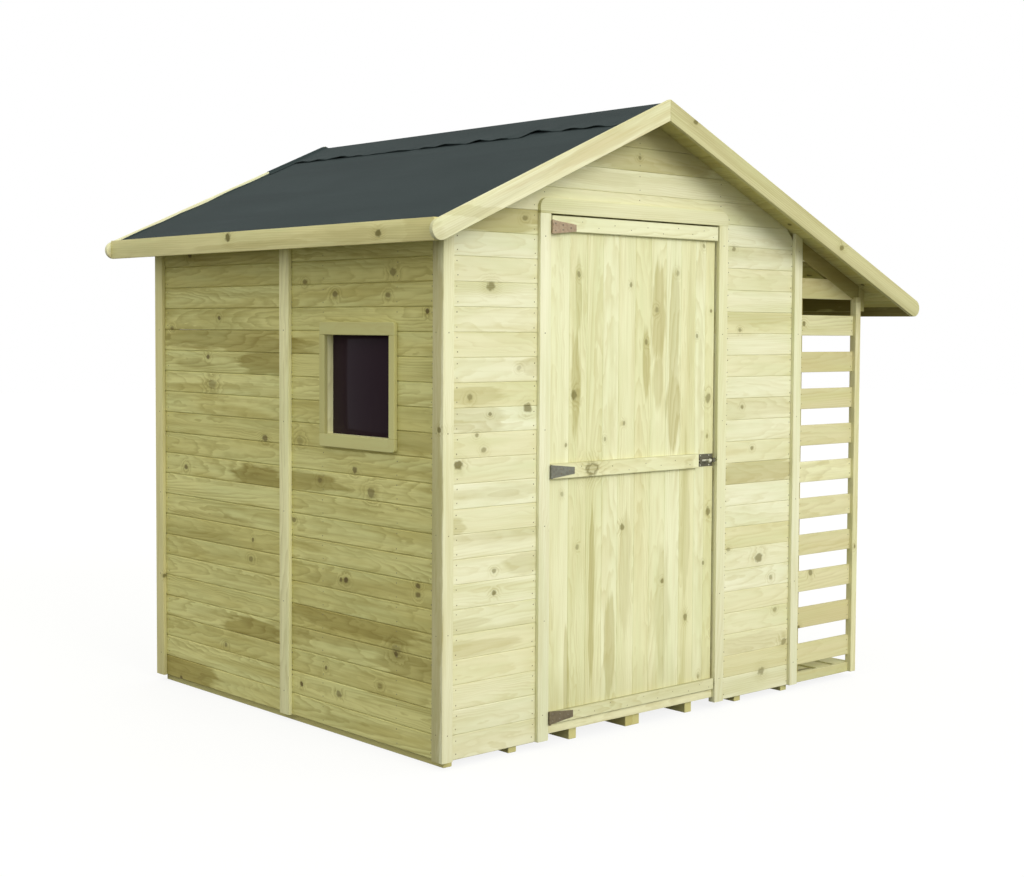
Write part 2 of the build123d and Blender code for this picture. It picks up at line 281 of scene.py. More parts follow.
    def along(self, grain: Any, length: float, width: float, detail: float = 2.0,
              rough: float = 0.5) -> Any:
        """Noise drawn out along the grain.

        Args:
            grain: Place along, across and into the board.
            length: Waves to the metre along it.
            width: Waves to the metre across and into it.
            detail: Octaves of the noise.
            rough: How much the finer ones count.

        Returns:
            The noise value.
        """
        return self.noise(self.stretch(grain, length, width, width), 1.0, detail, rough)

    def use(self, group: bpy.types.NodeTree, **inputs: Any) -> bpy.types.Node:
        """Places a group.

        Args:
            group: The group.
            inputs: Its inputs, named with _ for a space.

        Returns:
            The group's node.
        """
        node = self.add("ShaderNodeGroup", node_tree=group)
        for key, value in inputs.items():
            self.put(node.inputs[key.replace("_", " ")], value)
        return node

    def relief(self, shader: bpy.types.Node, height: Any, strength: float, distance: float) -> None:
        """Lets a height stand up from a shader's surface.

        Args:
            shader: The shader.
            height: Mask that stands up where it is 1.
            strength: Share of the effect.
            distance: Its height in metres.
        """
        bump = self.add("ShaderNodeBump", {"Strength": strength, "Distance": distance,
                                           "Height": height})
        self.put(shader.inputs["Normal"], bump.outputs[0])


def figure_group() -> bpy.types.NodeTree:
    """Rings, streaks, bands and fine fibre of a sawn board, from its own grain place.

    Returns:
        The group, with a value of 0 to 1 for each of the four.
    """
    g = Graph.group(
        "timber_figure", "ShaderNodeTree",
        [("Grain", "Vector"), "Push", ("Ring Width", "Float", 0.0075), ("Tilt", "Float", 0.035)],
        ["Figure", "Streak", "Fibre", "Band"])
    inp, out = g.start.outputs, g.end.inputs
    grain = inp["Grain"]
    # The rings' centre line wanders in a broad sweep and in small waves
    wander = g.swing(g.along(grain, 1.3, 8.0), 0.055)
    small = g.sum("SUBTRACT", g.along(grain, 9.0, 34.0), 0.5)
    wander = g.sum("MULTIPLY_ADD", small, 0.014, wander)
    axes = g.parts(grain)
    across = g.sum("ADD", axes[1], wander)
    deep = g.sum("MULTIPLY_ADD", axes[0], inp["Tilt"], axes[2])
    deep = g.sum("ADD", deep, wander)
    # Knots push the rings aside, by at most this many metres
    radius = g.arrow("LENGTH", g.point(x=across, y=deep))
    radius = g.sum("MULTIPLY_ADD", inp["Push"], 0.013, radius)
    # Each ring darkens slowly and ends at once, and shows more in some stretches than in others
    phase = g.sum("FRACT", g.sum("DIVIDE", radius, inp["Ring Width"]))
    ring = g.product(g.sum("POWER", phase, 2.0), g.span(phase, 1.0, 0.86))
    patchy = g.along(grain, 2.2, 20.0)
    ring = g.product(ring, g.span(patchy, 0.35, 0.65, 0.25, 1.9))
    g.put(out["Figure"], g.sum("ADD", ring, 0.0, clamp=True))
    g.put(out["Streak"], g.span(g.along(grain, 1.6, 55.0, 4.0, 0.65), 0.47, 0.72))
    g.put(out["Band"], g.span(g.along(grain, 1.7, 17.0, 3.0, 0.6), 0.48, 0.66, smooth=True))
    g.put(out["Fibre"], g.along(grain, 9.0, 700.0, 1.0))
    return g.tree


def knot_group() -> bpy.types.NodeTree:
    """One knot at a set place, paler within by Ring, and the wood that bends round it.

    Returns:
        The group. It keeps the deeper of its own marks and those handed in.
    """
    g = Graph.group(
        "set_knot", "ShaderNodeTree",
        [("Place", "Vector"), "Ragged", ("Centre", "Vector"),
         ("Half Size", "Vector", (0.01, 0.01, 0.01)), ("Depth", "Float", 1.0),
         ("Ring", "Float", 0.0), "Dark", "Halo"], ["Dark", "Halo"])
    inp = g.start.outputs
    away = g.arrow("DIVIDE", g.arrow("SUBTRACT", inp["Place"], inp["Centre"]), inp["Half Size"])
    distance = g.sum("ADD", g.arrow("LENGTH", away), inp["Ragged"])
    heart = g.product(g.span(distance, 1.4, 0.7, smooth=True), inp["Depth"])
    pale = g.product(g.span(distance, 0.95, 0.45, smooth=True), inp["Ring"])
    heart = g.product(heart, g.sum("SUBTRACT", 1.0, pale))
    g.put(g.end.inputs["Dark"], g.sum("MAXIMUM", inp["Dark"], heart))
    halo = g.span(distance, 4.0, 0.9, smooth=True)
    g.put(g.end.inputs["Halo"], g.sum("MAXIMUM", inp["Halo"], halo))
    return g.tree


def heart_group() -> bpy.types.NodeTree:
    """One darker patch on one board, its crisp edge running out along the grain: heartwood, and in
    a few finishes painted shade.

    Returns:
        The group. It keeps the deeper of its own patch and the one handed in.
    """
    g = Graph.group(
        "darker_patch", "ShaderNodeTree",
        [("Place", "Vector"), "Edge", ("Centre", "Vector"), ("Half Size", "Vector", (1, 1, 1)),
         ("Low", "Float", -1.0), ("High", "Float", 9.0), ("Depth", "Float", 1.0), "Patch"],
        ["Patch"])
    inp = g.start.outputs
    away = g.arrow("DIVIDE", g.arrow("SUBTRACT", inp["Place"], inp["Centre"]), inp["Half Size"])
    reach = g.sum("ADD", inp["Edge"], g.arrow("LENGTH", away))
    height = g.parts(inp["Place"])[2]
    within = g.product(g.sum("GREATER_THAN", height, inp["Low"]),
                       g.sum("LESS_THAN", height, inp["High"]))
    own = g.product(g.span(reach, 1.14, 0.88), g.product(within, inp["Depth"]))
    g.put(g.end.inputs["Patch"], g.sum("MAXIMUM", inp["Patch"], own))
    return g.tree


def stray_group() -> bpy.types.NodeTree:
    """Knots strewn over a board by a cell pattern, round at any board width.

    Returns:
        The group.
    """
    g = Graph.group(
        "stray_knots", "ShaderNodeTree",
        [("Grain", "Vector"), "Ragged", ("Apart", "Float", 0.42), ("Rarity", "Float", 0.6),
         ("Size", "Float", 0.009)], ["Dark", "Halo"])
    inp = g.start.outputs
    cell = g.point(x=inp["Apart"], y=0.09, z=1.0)
    place = g.arrow("DIVIDE", inp["Grain"], cell)
    spots = g.add("ShaderNodeTexVoronoi", {"Vector": place, "Scale": 1.0}, voronoi_dimensions="2D")
    away = g.arrow("MULTIPLY", g.arrow("SUBTRACT", place, spots.outputs["Position"]), cell)
    away = g.arrow("MULTIPLY", away, (1.0, 1.0, 0.0))
    pick = g.add("ShaderNodeSeparateColor", {0: spots.outputs["Color"]}).outputs
    radius = g.product(inp["Size"], g.span(pick[0], 0.0, 1.0, 0.4, 1.3))
    distance = g.sum("ADD", g.sum("DIVIDE", g.arrow("LENGTH", away), radius), inp["Ragged"])
    there = g.sum("GREATER_THAN", pick[1], inp["Rarity"])
    depth = g.product(there, g.span(pick[2], 0.0, 1.0, 0.35, 1.0))
    g.put(g.end.inputs["Dark"], g.product(depth, g.span(distance, 1.35, 0.75, smooth=True)))
    g.put(g.end.inputs["Halo"], g.product(there, g.span(distance, 4.0, 0.9, smooth=True)))
    return g.tree


def weather_group() -> bpy.types.NodeTree:
    """Where a board is darker near the ground, painted shade where less light reaches low down,
    with damp, and where its face looks up and gathers dust.

    Returns:
        The group.
    """
    g = Graph.group(
        "weathering", "ShaderNodeTree",
        [("Place", "Vector")], ["Low", "Top"])
    height = g.parts(g.start.outputs["Place"])[2]
    # Painted shade with damp: darker from 1.6 m down, and more so below 0.3 m.
    low = g.sum("ADD", g.span(height, 1.6, 0.2, 0.0, 0.2), g.span(height, 0.30, 0.12, 0.0, 0.42))
    g.put(g.end.inputs["Low"], low)
    rise = g.parts(g.add("ShaderNodeNewGeometry").outputs["Normal"])[2]
    g.put(g.end.inputs["Top"], g.span(rise, 0.5, 0.9))
    return g.tree


class Effects:
    """The shader groups, each built once and placed in every material that uses it."""

    made: dict[str, bpy.types.NodeTree] = {}
    makers: dict[str, Callable[[], bpy.types.NodeTree]] = {
        "figure": figure_group, "knot": knot_group, "heart": heart_group, "stray": stray_group,
        "shade_and_weather": weather_group,
    }

    @classmethod
    def get(cls, name: str) -> bpy.types.NodeTree:
        """The named group."""
        if name not in cls.made:
            cls.made[name] = cls.makers[name]()
        return cls.made[name]


@dataclass(frozen=True)
class Knot:
    """A knot that shows at a set place, in millimetres from the body's front left corner."""

    x: float
    y: float
    z: float
    half: float = 9.0
    stretch: float = 1.3
    facing: str = "y"
    depth: float = 0.8
    ring: float = 0.0

    def centre(self) -> Point:
        """Its place in the shared frame."""
        return tuple(at(self.x, self.y, self.z))

    def half_size(self) -> Point:
        """Half its width along each axis, deep along the one it faces."""
        wide, high, deep = self.half * self.stretch / 1000, self.half / 1000, 0.05
        return (deep, wide, high) if self.facing == "x" else (wide, deep, high)


@dataclass(frozen=True)
class DarkPatch:
    """A darker patch on one board, in millimetres from the body's front left corner: heartwood, and
    in a few finishes painted shade.
    """

    centre: Point
    half: Point
    low: float = 0.0
    high: float = 9000.0
    depth: float = 1.0

    def place(self, g: Graph, seen: Any, edge: Any, patch: Any) -> Any:
        """Adds the patch to a material.

        Args:
            g: The material's graph.
            seen: Its Object coordinates.
            edge: How far the edge wanders.
            patch: Mask of the patches before this one.

        Returns:
            The mask with this one.
        """
        return g.use(Effects.get("heart"), Place=seen, Edge=edge, Centre=tuple(at(*self.centre)),
                     Half_Size=tuple(v / 1000 for v in self.half), Low=self.low / 1000,
                     High=self.high / 1000, Depth=self.depth, Patch=patch).outputs[0]


@dataclass(frozen=True)
class Finish:
    """What every finish has: a name, and a material of its own nodes."""

    name: str

    def wire(self, g: Graph, shader: bpy.types.Node, place: Any) -> None:
        """Wires the finish up.

        Args:
            g: The material's graph.
            shader: Its Principled BSDF.
            place: Its Object coordinates.
        """
        raise NotImplementedError

    def material(self) -> bpy.types.Material:
        """Builds the finish.

        Returns:
            The material.
        """
        mat = bpy.data.materials.new(self.name)
        mat.use_nodes = True
        g = Graph(mat.node_tree)
        self.wire(g, mat.node_tree.nodes["Principled BSDF"],
                  g.add("ShaderNodeTexCoord").outputs["Object"])
        return mat


@dataclass(frozen=True)
class TimberFinish(Finish):
    """Pressure-treated softwood: pale board, its figure, bands, heartwood, knots and green cast,
    with painted shade in some finishes: darker towards the ground, and in set darker patches.
    """

    pale: Colour = paint(240, 240, 210)
    deep: Colour = paint(227, 223, 178)
    figure: Colour = paint(196, 186, 122)
    band: Colour = paint(206, 198, 140)
    cast: Colour = paint(200, 208, 148)
    # Tint of the darker patches: heartwood, and painted shade in a few finishes.
    heart: Colour = (0.70, 0.66, 0.50, 1.0)
    knot: Colour = paint(112, 104, 52)
    # Tint of the darkening towards the ground: painted shade, with damp.
    shade_and_wet_tint: Colour = (0.70, 0.67, 0.58, 1.0)
    dust_tint: Colour = paint(120, 114, 74)
    figure_share: float = 0.34
    streak_share: float = 0.22
    band_share: float = 0.3
    cast_share: float = 0.35
    rarity: float = 0.7
    knot_size: float = 0.010
    # Share of the darkening towards the ground: painted shade, with damp.
    shade_and_wet: float = 0.0
    dust: float = 0.0
    rough: float = 0.72
    knots: tuple[Knot, ...] = ()
    hearts: tuple[DarkPatch, ...] = ()

    def wire(self, g: Graph, shader: bpy.types.Node, place: Any) -> None:
        """Wires the finish up, which reads the attributes `grain` and `tone` as well."""
        grain = g.add("ShaderNodeAttribute", attribute_name="grain").outputs["Vector"]
        tone = g.add("ShaderNodeAttribute", attribute_name="tone").outputs["Fac"]
        ragged = g.swing(g.noise(place, 70.0, 2.0), 1.2)
        stray = g.use(Effects.get("stray"), Grain=grain, Ragged=ragged, Rarity=self.rarity,
                      Size=self.knot_size)
        dark, halo = stray.outputs[0], stray.outputs[1]
        for knot in self.knots:
            spot = g.use(Effects.get("knot"), Place=place, Ragged=ragged, Centre=knot.centre(),
                         Half_Size=knot.half_size(), Depth=knot.depth, Ring=knot.ring, Dark=dark,
                         Halo=halo)
            dark, halo = spot.outputs[0], spot.outputs[1]
        wood = g.use(Effects.get("figure"), Grain=grain, Push=halo).outputs
        lines, fibre = wood["Figure"], wood["Fibre"]
        green = g.span(g.along(grain, 2.0, 14.0, 3.0), 0.42, 0.75)
        colour = g.blend(tone, self.pale, self.deep)
        for mask, share, tint in ((wood["Band"], self.band_share, self.band),
                                  (green, self.cast_share, self.cast),
                                  (lines, self.figure_share, self.figure),
                                  (wood["Streak"], self.streak_share, self.figure)):
            colour = g.blend(g.product(mask, share), colour, tint)
        # Darker patches: heartwood, and painted shade in a few finishes.
        if self.hearts:
            edge = g.swing(g.along(grain, 5.0, 38.0, 3.0), 1.5)
            patch: Any = 0.0
            for heart in self.hearts:
                patch = heart.place(g, place, edge, patch)
            colour = g.deepen(patch, colour, self.heart)
        # Darker towards the ground is painted shade with damp; faces that look up gather dust.
        if self.shade_and_wet or self.dust:
            shade_and_weather = g.use(Effects.get("shade_and_weather"), Place=place).outputs
            colour = g.deepen(g.product(shade_and_weather["Low"], self.shade_and_wet), colour, self.shade_and_wet_tint)
            colour = g.blend(g.product(shade_and_weather["Top"], self.dust), colour, self.dust_tint)
        ringed = g.product(halo, g.span(lines, 0.0, 0.8, 0.18, 0.5))
        colour = g.deepen(ringed, colour, self.heart)
        g.put(shader.inputs["Base Color"], g.blend(dark, colour, self.knot))
        g.put(shader.inputs["Roughness"],
              g.span(fibre, 0.3, 0.7, self.rough - 0.08, self.rough + 0.12))
        shader.inputs["Specular IOR Level"].default_value = 0.25
        rise = g.sum("ADD", g.product(lines, 0.5), g.product(dark, -0.6))
        g.relief(shader, g.sum("MULTIPLY_ADD", fibre, 0.5, rise), 0.35, 0.0006)


@dataclass(frozen=True)
class FeltFinish(Finish):
    """Roofing felt: dark blue-grey mineral on bitumen, faintly creased and paler where it wears."""

    base: Colour = paint(43, 54, 54)
    worn: Colour = paint(52, 63, 63)
    dark: Colour = paint(36, 45, 46)

    def wire(self, g: Graph, shader: bpy.types.Node, place: Any) -> None:
        """Wires the finish up from mineral grit, broad wear and creases."""
        mineral = g.noise(place, 900.0, 2.0, 0.7)
        broad = g.noise(g.stretch(place, 1.6, 0.7, 1.6), 2.2, 4.0)
        crease = g.noise(g.stretch(place, 9.0, 0.8, 9.0), 1.0, 2.0)
        colour = g.blend(g.span(broad, 0.35, 0.75, 0.0, 0.7), self.base, self.worn)
        colour = g.blend(g.span(crease, 0.52, 0.7, 0.0, 0.4), colour, self.dark)
        colour = g.blend(g.span(mineral, 0.35, 0.75, 0.0, 0.5), colour, self.worn)
        g.put(shader.inputs["Base Color"], colour)
        g.put(shader.inputs["Roughness"], g.span(mineral, 0.3, 0.7, 0.85, 1.0))
        shader.inputs["Specular IOR Level"].default_value = 0.2
        g.relief(shader, g.sum("MULTIPLY_ADD", crease, 3.0, mineral), 0.5, 0.001)


@dataclass(frozen=True)
class IronFinish(Finish):
    """Zinc-plated steel that has dulled, with stains of its own colour."""

    base: Colour = paint(120, 121, 108)
    stain: Colour = paint(84, 80, 64)
    metal: float = 0.35
    rough: float = 0.5
    wear: float = 0.5

    def wire(self, g: Graph, shader: bpy.types.Node, place: Any) -> None:
        """Wires the finish up from stains and fine grit."""
        spots = g.span(g.noise(place, 90.0, 4.0, 0.6), 0.42, 0.68, 0.0, self.wear)
        g.put(shader.inputs["Base Color"], g.blend(spots, self.base, self.stain))
        g.put(shader.inputs["Roughness"], g.sum("MULTIPLY_ADD", spots, 0.25, self.rough))
        g.put(shader.inputs["Metallic"], g.span(spots, 0.0, 0.6, self.metal, self.metal * 0.3))
        g.relief(shader, g.noise(place, 1400.0, 1.0), 0.3, 0.0003)


@dataclass(frozen=True)
class PaneFinish(Finish):
    """Thin glazing sheet whose dark colour is painted shade: the dark shed behind it, which the
    opaque sheet does not show.
    """

    base: Colour = paint(44, 31, 39)
    dusty: Colour = paint(70, 62, 60)

    def wire(self, g: Graph, shader: bpy.types.Node, place: Any) -> None:
        """Wires the finish up from a film of dust."""
        dust = g.noise(g.stretch(place, 6.0, 6.0, 2.5), 1.0, 4.0)
        g.put(shader.inputs["Base Color"],
              g.blend(g.span(dust, 0.5, 0.8, 0.0, 0.25), self.base, self.dusty))
        g.put(shader.inputs["Roughness"], g.span(dust, 0.3, 0.8, 0.08, 0.25))
        shader.inputs["Specular IOR Level"].default_value = 0.03


class Slot(Enum):
    """Material slots of the record."""

    WALL = "wall_wood"
    TRIM = "trim_wood"
    DOOR = "door_wood"
    FRAME = "frame_wood"
    FELT = "felt"
    IRON = "ironwork"
    PANE = "pane"


class Axis(Enum):
    """Direction in which a timber's grain runs."""

    X = 0
    Y = 1
    Z = 2

    def order(self) -> tuple[int, int, int]:
        """The coordinate along the grain, and then the two across it."""
        return ((0, 2, 1), (1, 2, 0), (2, 0, 1))[self.value]


def store_grain(mesh: bpy.types.Mesh, places: Sequence[Sequence[float]],
                tones: Sequence[float]) -> None:
    """Writes the attributes that the timber finishes read.

    Args:
        mesh: Mesh that gets them.
        places: Along, across and into the board for each vertex, in metres.
        tones: Tone of each vertex's board, 0 pale to 1 deep.
    """
    grain = mesh.attributes.new("grain", "FLOAT_VECTOR", "POINT")
    grain.data.foreach_set("vector", [v for place in places for v in place])
    mesh.attributes.new("tone", "FLOAT", "POINT").data.foreach_set("value", list(tones))


def poured(bm: bmesh.types.BMesh, name: str) -> bpy.types.Mesh:
    """New mesh of a bmesh, which is freed.

    Args:
        bm: The bmesh.
        name: Name of the mesh.

    Returns:
        The mesh.
    """
    mesh = bpy.data.meshes.new(name)
    bm.to_mesh(mesh)
    bm.free()
    return mesh


def settled(mesh: bpy.types.Mesh, equip: Callable[[bpy.types.Object], None]) -> bpy.types.Mesh:
    """Mesh with its modifiers applied.

    Args:
        mesh: Mesh to start from.
        equip: Gives the object that carries it its modifiers.

    Returns:
        A new mesh with the result.
    """
    carrier = bpy.data.objects.new("carrier", mesh)
    equip(carrier)
    bpy.context.scene.collection.objects.link(carrier)
    result = bpy.data.meshes.new_from_object(
        carrier.evaluated_get(bpy.context.evaluated_depsgraph_get()))
    bpy.data.objects.remove(carrier)
    return result


def eased(mesh: bpy.types.Mesh, width: float) -> bpy.types.Mesh:
    """Mesh with a rounded arris along its sharp edges, its width in metres.

    Args:
        mesh: Mesh with sharp edges.
        width: Width of the arris, in metres.

    Returns:
        The new mesh.
    """
    def equip(carrier: bpy.types.Object) -> None:
        """Adds the bevel."""
        bevel = carrier.modifiers.new("bevel", "BEVEL")
        bevel.width, bevel.segments = width, 2
        bevel.limit_method, bevel.angle_limit = "ANGLE", ARRIS_FROM
        bevel.use_clamp_overlap = True
    return settled(mesh, equip)


def merged(node: str) -> bpy.types.Mesh:
    """Copy of a CAD node's mesh with its triangles joined into flat faces.

    Args:
        node: The CAD node.

    Returns:
        The copy.
    """
    bm = bmesh.new()
    bm.from_mesh(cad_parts[node].data)
    bmesh.ops.remove_doubles(bm, verts=bm.verts, dist=WELD)
    bmesh.ops.dissolve_limit(bm, angle_limit=FLAT_WITHIN, verts=bm.verts, edges=bm.edges)
    return poured(bm, node)


class Timbers:
    """Loose timbers gathered into one mesh, each with its own grain and tone."""

    def __init__(self, seed: int) -> None:
        """Starts an empty stack whose random draws follow from seed."""
        self.rng = random.Random(seed)
        self.bm = bmesh.new()
        self.places: list[Sequence[float]] = []
        self.tones: list[float] = []

    def take(self, piece: bmesh.types.BMesh, middle: Vector, axis: Axis, soften: float) -> None:
        """Softens a timber's edges, gives it grain and tone and adds it to the stack.

        Args:
            piece: The timber with sharp edges, in the shared frame. It is freed.
            middle: Its middle.
            axis: Direction of its grain.
            soften: Arris in millimetres.
        """
        sharp = [e for e in piece.edges if e.calc_face_angle(0.0) > ARRIS_FROM]
        bmesh.ops.bevel(piece, geom=sharp, offset=soften / 1000, segments=1, affect="EDGES")
        shift = [self.rng.uniform(*limits) for limits in LOOSE_SHIFT]
        tone = self.rng.random()
        for vertex in piece.verts:
            self.places.append([vertex.co[i] - middle[i] + shift[k]
                                for k, i in enumerate(axis.order())])
            self.tones.append(tone)
        spare = poured(piece, "spare")
        self.bm.from_mesh(spare)
        bpy.data.meshes.remove(spare)

    def outline(self, points: Sequence[tuple[float, float]], near: float, far: float, across: Axis,
                grain: Axis, soften: float = 1.4) -> None:
        """Adds a board cut to an outline.

        Args:
            points: Corners in millimetres, as X and Z for a board that faces Y, as Y and Z for X.
            near: Its outer face.
            far: Its inner face.
            across: Direction through its thickness.
            grain: Direction of its grain.
            soften: Arris in millimetres.
        """
        piece = bmesh.new()
        spots = [at(near, u, v) if across is Axis.X else at(u, near, v) for u, v in points]
        face = piece.faces.new([piece.verts.new(p) for p in spots])
        made = bmesh.ops.extrude_face_region(piece, geom=[face])["geom"]
        move = at(far, far, 0) - at(near, near, 0)
        move = Vector((move.x, 0, 0)) if across is Axis.X else Vector((0, move.y, 0))
        moved = [v for v in made if isinstance(v, bmesh.types.BMVert)]
        bmesh.ops.translate(piece, verts=moved, vec=move)
        bmesh.ops.recalc_face_normals(piece, faces=piece.faces[:])
        middle = sum((v.co for v in piece.verts), Vector()) / len(piece.verts)
        self.take(piece, middle, grain, soften)

    def add(self, low: Point, high: Point, axis: Axis, soften: float = 1.4,
            cut: Optional[Callable[[Vector], Vector]] = None) -> None:
        """Adds a squared timber.

        Args:
            low: Its lowest corner, in millimetres from the front left corner.
            high: Its highest corner.
            axis: Direction of its grain.
            soften: Arris in millimetres.
            cut: Moves a corner, in metres, for ends that aren't square.
        """
        a, b = at(*low), at(*high)
        piece = bmesh.new()
        bmesh.ops.create_cube(piece, size=1.0)
        for vertex in piece.verts:
            vertex.co = Vector([a[i] if vertex.co[i] < 0 else b[i] for i in range(3)])
            if cut:
                vertex.co = cut(vertex.co)
        self.take(piece, (a + b) / 2, axis, soften)

    def mesh(self, name: str) -> bpy.types.Mesh:
        """The gathered mesh, with its attributes."""
        made = poured(self.bm, name)
        store_grain(made, self.places, self.tones)
        return made


def board_row_tree() -> bpy.types.NodeTree:
    """Geometry Nodes that lay one board beside the next and cut them under the roof.

    Returns:
        The tree. Its boards lie along X, stand on each other up Z and face -Y.
    """
    g = Graph.group(
        "board_row", "GeometryNodeTree",
        [("Geometry", "Geometry"), ("Count", "Int", 1), "Pitch", "First", ("Peak", "Float", 10.0),
         ("Slope", "Float", 0.001), ("Inner", "Float", 10.0), "Lean", ("Hole Low", "Vector"),
         ("Hole High", "Vector"), ("Seed", "Int"), ("Finish", "Material")],
        [("Geometry", "Geometry")])
    inp = g.start.outputs
    line = g.add("GeometryNodeMeshLine", {
        "Count": inp["Count"], "Start Location": g.point(z=inp["First"]),
        "Offset": g.point(z=inp["Pitch"])}, mode="OFFSET")
    boards = g.add("GeometryNodeInstanceOnPoints", {"Points": line.outputs[0],
                                                    "Instance": inp["Geometry"]})
    laid = g.add("GeometryNodeRealizeInstances", {0: boards.outputs[0]}).outputs[0]
    place = g.parts(g.add("GeometryNodeInputPosition").outputs[0])
    reach = g.sum("DIVIDE", g.sum("SUBTRACT", inp["Peak"], place[2]), inp["Slope"])
    reach = g.sum("MAXIMUM", reach, inp["Inner"])
    far = g.sum("MINIMUM", g.sum("ABSOLUTE", place[0]), reach)
    new_x = g.product(far, g.sum("SIGN", place[0]))
    top = g.sum("SUBTRACT", inp["Peak"], g.product(far, inp["Slope"]))
    top = g.sum("SUBTRACT", top, g.product(place[1], inp["Lean"]))
    cut_at = g.point(x=new_x, y=place[1], z=g.sum("MINIMUM", place[2], top))
    cut = g.add("GeometryNodeSetPosition", {"Geometry": laid, "Position": cut_at}).outputs[0]
    size = g.arrow("SUBTRACT", inp["Hole High"], inp["Hole Low"])
    middle = g.arrow("SCALE", g.arrow("ADD", inp["Hole High"], inp["Hole Low"]), scale=0.5)
    cube = g.add("GeometryNodeMeshCube", {"Size": size}).outputs[0]
    cube = g.add("GeometryNodeTransform", {"Geometry": cube, "Translation": middle}).outputs[0]
    holed = g.add("GeometryNodeMeshBoolean", {0: cut, 1: cube}, operation="DIFFERENCE",
                  solver="EXACT")
    wanted = g.sum("GREATER_THAN", g.arrow("LENGTH", size), 0.001)
    choose = g.add("GeometryNodeSwitch", {"Switch": wanted, "False": cut, "True": holed.outputs[0]},
                   input_type="GEOMETRY")
    row = g.sum("FLOOR", g.sum("DIVIDE", g.sum("SUBTRACT", place[2], inp["First"]), inp["Pitch"]))
    draw = g.add("FunctionNodeRandomValue", {
        "Min": (0.0, -0.05, -0.12), "Max": (9.0, 0.05, 0.12), "ID": row, "Seed": inp["Seed"]},
        data_type="FLOAT_VECTOR")
    shade = g.add("FunctionNodeRandomValue", {"ID": row, "Seed": g.sum("ADD", inp["Seed"], 7.0)},
                  data_type="FLOAT")
    within = g.sum("MULTIPLY_ADD", g.sum("ADD", row, 0.5), g.product(inp["Pitch"], -1.0),
                   g.sum("SUBTRACT", place[2], inp["First"]))
    grain = g.arrow("ADD", g.point(x=place[0], y=within, z=place[1]), draw.outputs[0])
    kept = g.add("GeometryNodeStoreNamedAttribute", {"Geometry": choose.outputs[0], "Name": "grain",
                                                     "Value": grain},
                 data_type="FLOAT_VECTOR", domain="POINT").outputs[0]
    kept = g.add("GeometryNodeStoreNamedAttribute", {"Geometry": kept, "Name": "tone",
                                                     "Value": shade.outputs["Value"]},
                 data_type="FLOAT", domain="POINT").outputs[0]
    done = g.add("GeometryNodeSetMaterial", {"Geometry": kept, "Material": inp["Finish"]})
    g.put(g.end.inputs[0], done.outputs[0])
    return g.tree


def grown(mesh: bpy.types.Mesh, tree: bpy.types.NodeTree, inputs: dict[str, Any]) -> bpy.types.Mesh:
    """Mesh that a Geometry Nodes tree makes of another.

    Args:
        mesh: What goes in.
        tree: The tree.
        inputs: Its inputs by name.

    Returns:
        The plain mesh that comes out.
    """
    def equip(carrier: bpy.types.Object) -> None:
        """Adds the tree with its inputs, each set by its socket's identifier."""
        modifier = carrier.modifiers.new("growing", "NODES")
        modifier.node_group = tree
        for item in tree.interface.items_tree:
            if item.in_out == "INPUT" and item.name in inputs:
                modifier[item.identifier] = inputs[item.name]
    return settled(mesh, equip)


@dataclass
class BoardRow:
    """Row of like boards, in millimetres: X along them, Z from board to board, -Y their face."""

    start: float
    end: float
    first: float
    count: int
    seed: int
    pitch: float = COVER
    width: float = COVER
    thick: float = 16.0
    joint: float = 2.4
    gap: float = 0.7
    peak: float = 10000.0
    slope: float = 0.001
    inner: float = 10000.0
    lean: float = 0.0
    hole: tuple[Point, Point] = ((0, 0, 0), (0, 0, 0))

    tree = None

    def board(self) -> bpy.types.Mesh:
        """One board with its long front edges taken off for the V joint.

        Returns:
            The mesh, in metres.
        """
        w, t, j, h = self.width / 1000, self.thick / 1000, self.joint / 1000, self.gap / 2000
        outline = [(h, j), (h + j, 0), (w - h - j, 0), (w - h, j), (w - h, t), (h, t)]
        ends = (self.start / 1000, self.end / 1000)
        bm = bmesh.new()
        rings = [[bm.verts.new((x, y, z)) for z, y in outline] for x in ends]
        bm.faces.new(rings[0])
        bm.faces.new(rings[1][::-1])
        for i in range(len(outline)):
            k = (i + 1) % len(outline)
            bm.faces.new((rings[0][k], rings[0][i], rings[1][i], rings[1][k]))
        bmesh.ops.recalc_face_normals(bm, faces=bm.faces[:])
        return poured(bm, "board")

    def mesh(self, finish: bpy.types.Material, place: Matrix) -> bpy.types.Mesh:
        """Lays the row and puts it in its place.

        Args:
            finish: Material of the boards.
            place: Turn and move from the row's own frame to the shared one.

        Returns:
            The mesh in the shared frame.
        """
        if BoardRow.tree is None:
            BoardRow.tree = board_row_tree()
        low, high = (tuple(v / 1000 for v in corner) for corner in self.hole)
        mesh = grown(self.board(), BoardRow.tree, {
            "Count": self.count, "Pitch": self.pitch / 1000, "First": self.first / 1000,
            "Peak": self.peak / 1000, "Slope": self.slope, "Inner": self.inner / 1000,
            "Lean": self.lean, "Hole Low": low, "Hole High": high, "Seed": self.seed,
            "Finish": finish,
        })
        mesh.transform(place)
        return mesh


def joined(name: str, meshes: Sequence[bpy.types.Mesh]) -> bpy.types.Mesh:
    """One mesh of several, with their attributes.

    Args:
        name: Name of the new mesh.
        meshes: The meshes, in order.

    Returns:
        The new mesh.
    """
    bm = bmesh.new()
    for mesh in meshes:
        bm.from_mesh(mesh)
    return poured(bm, name)


def facing(turns: int, x: float, y: float) -> Matrix:
    """A row's own frame, which faces the front, turned counter-clockwise and moved to x, y."""
    return Matrix.Translation(at(x, y, 0)) @ Matrix.Rotation(turns * math.pi / 2, 4, "Z")


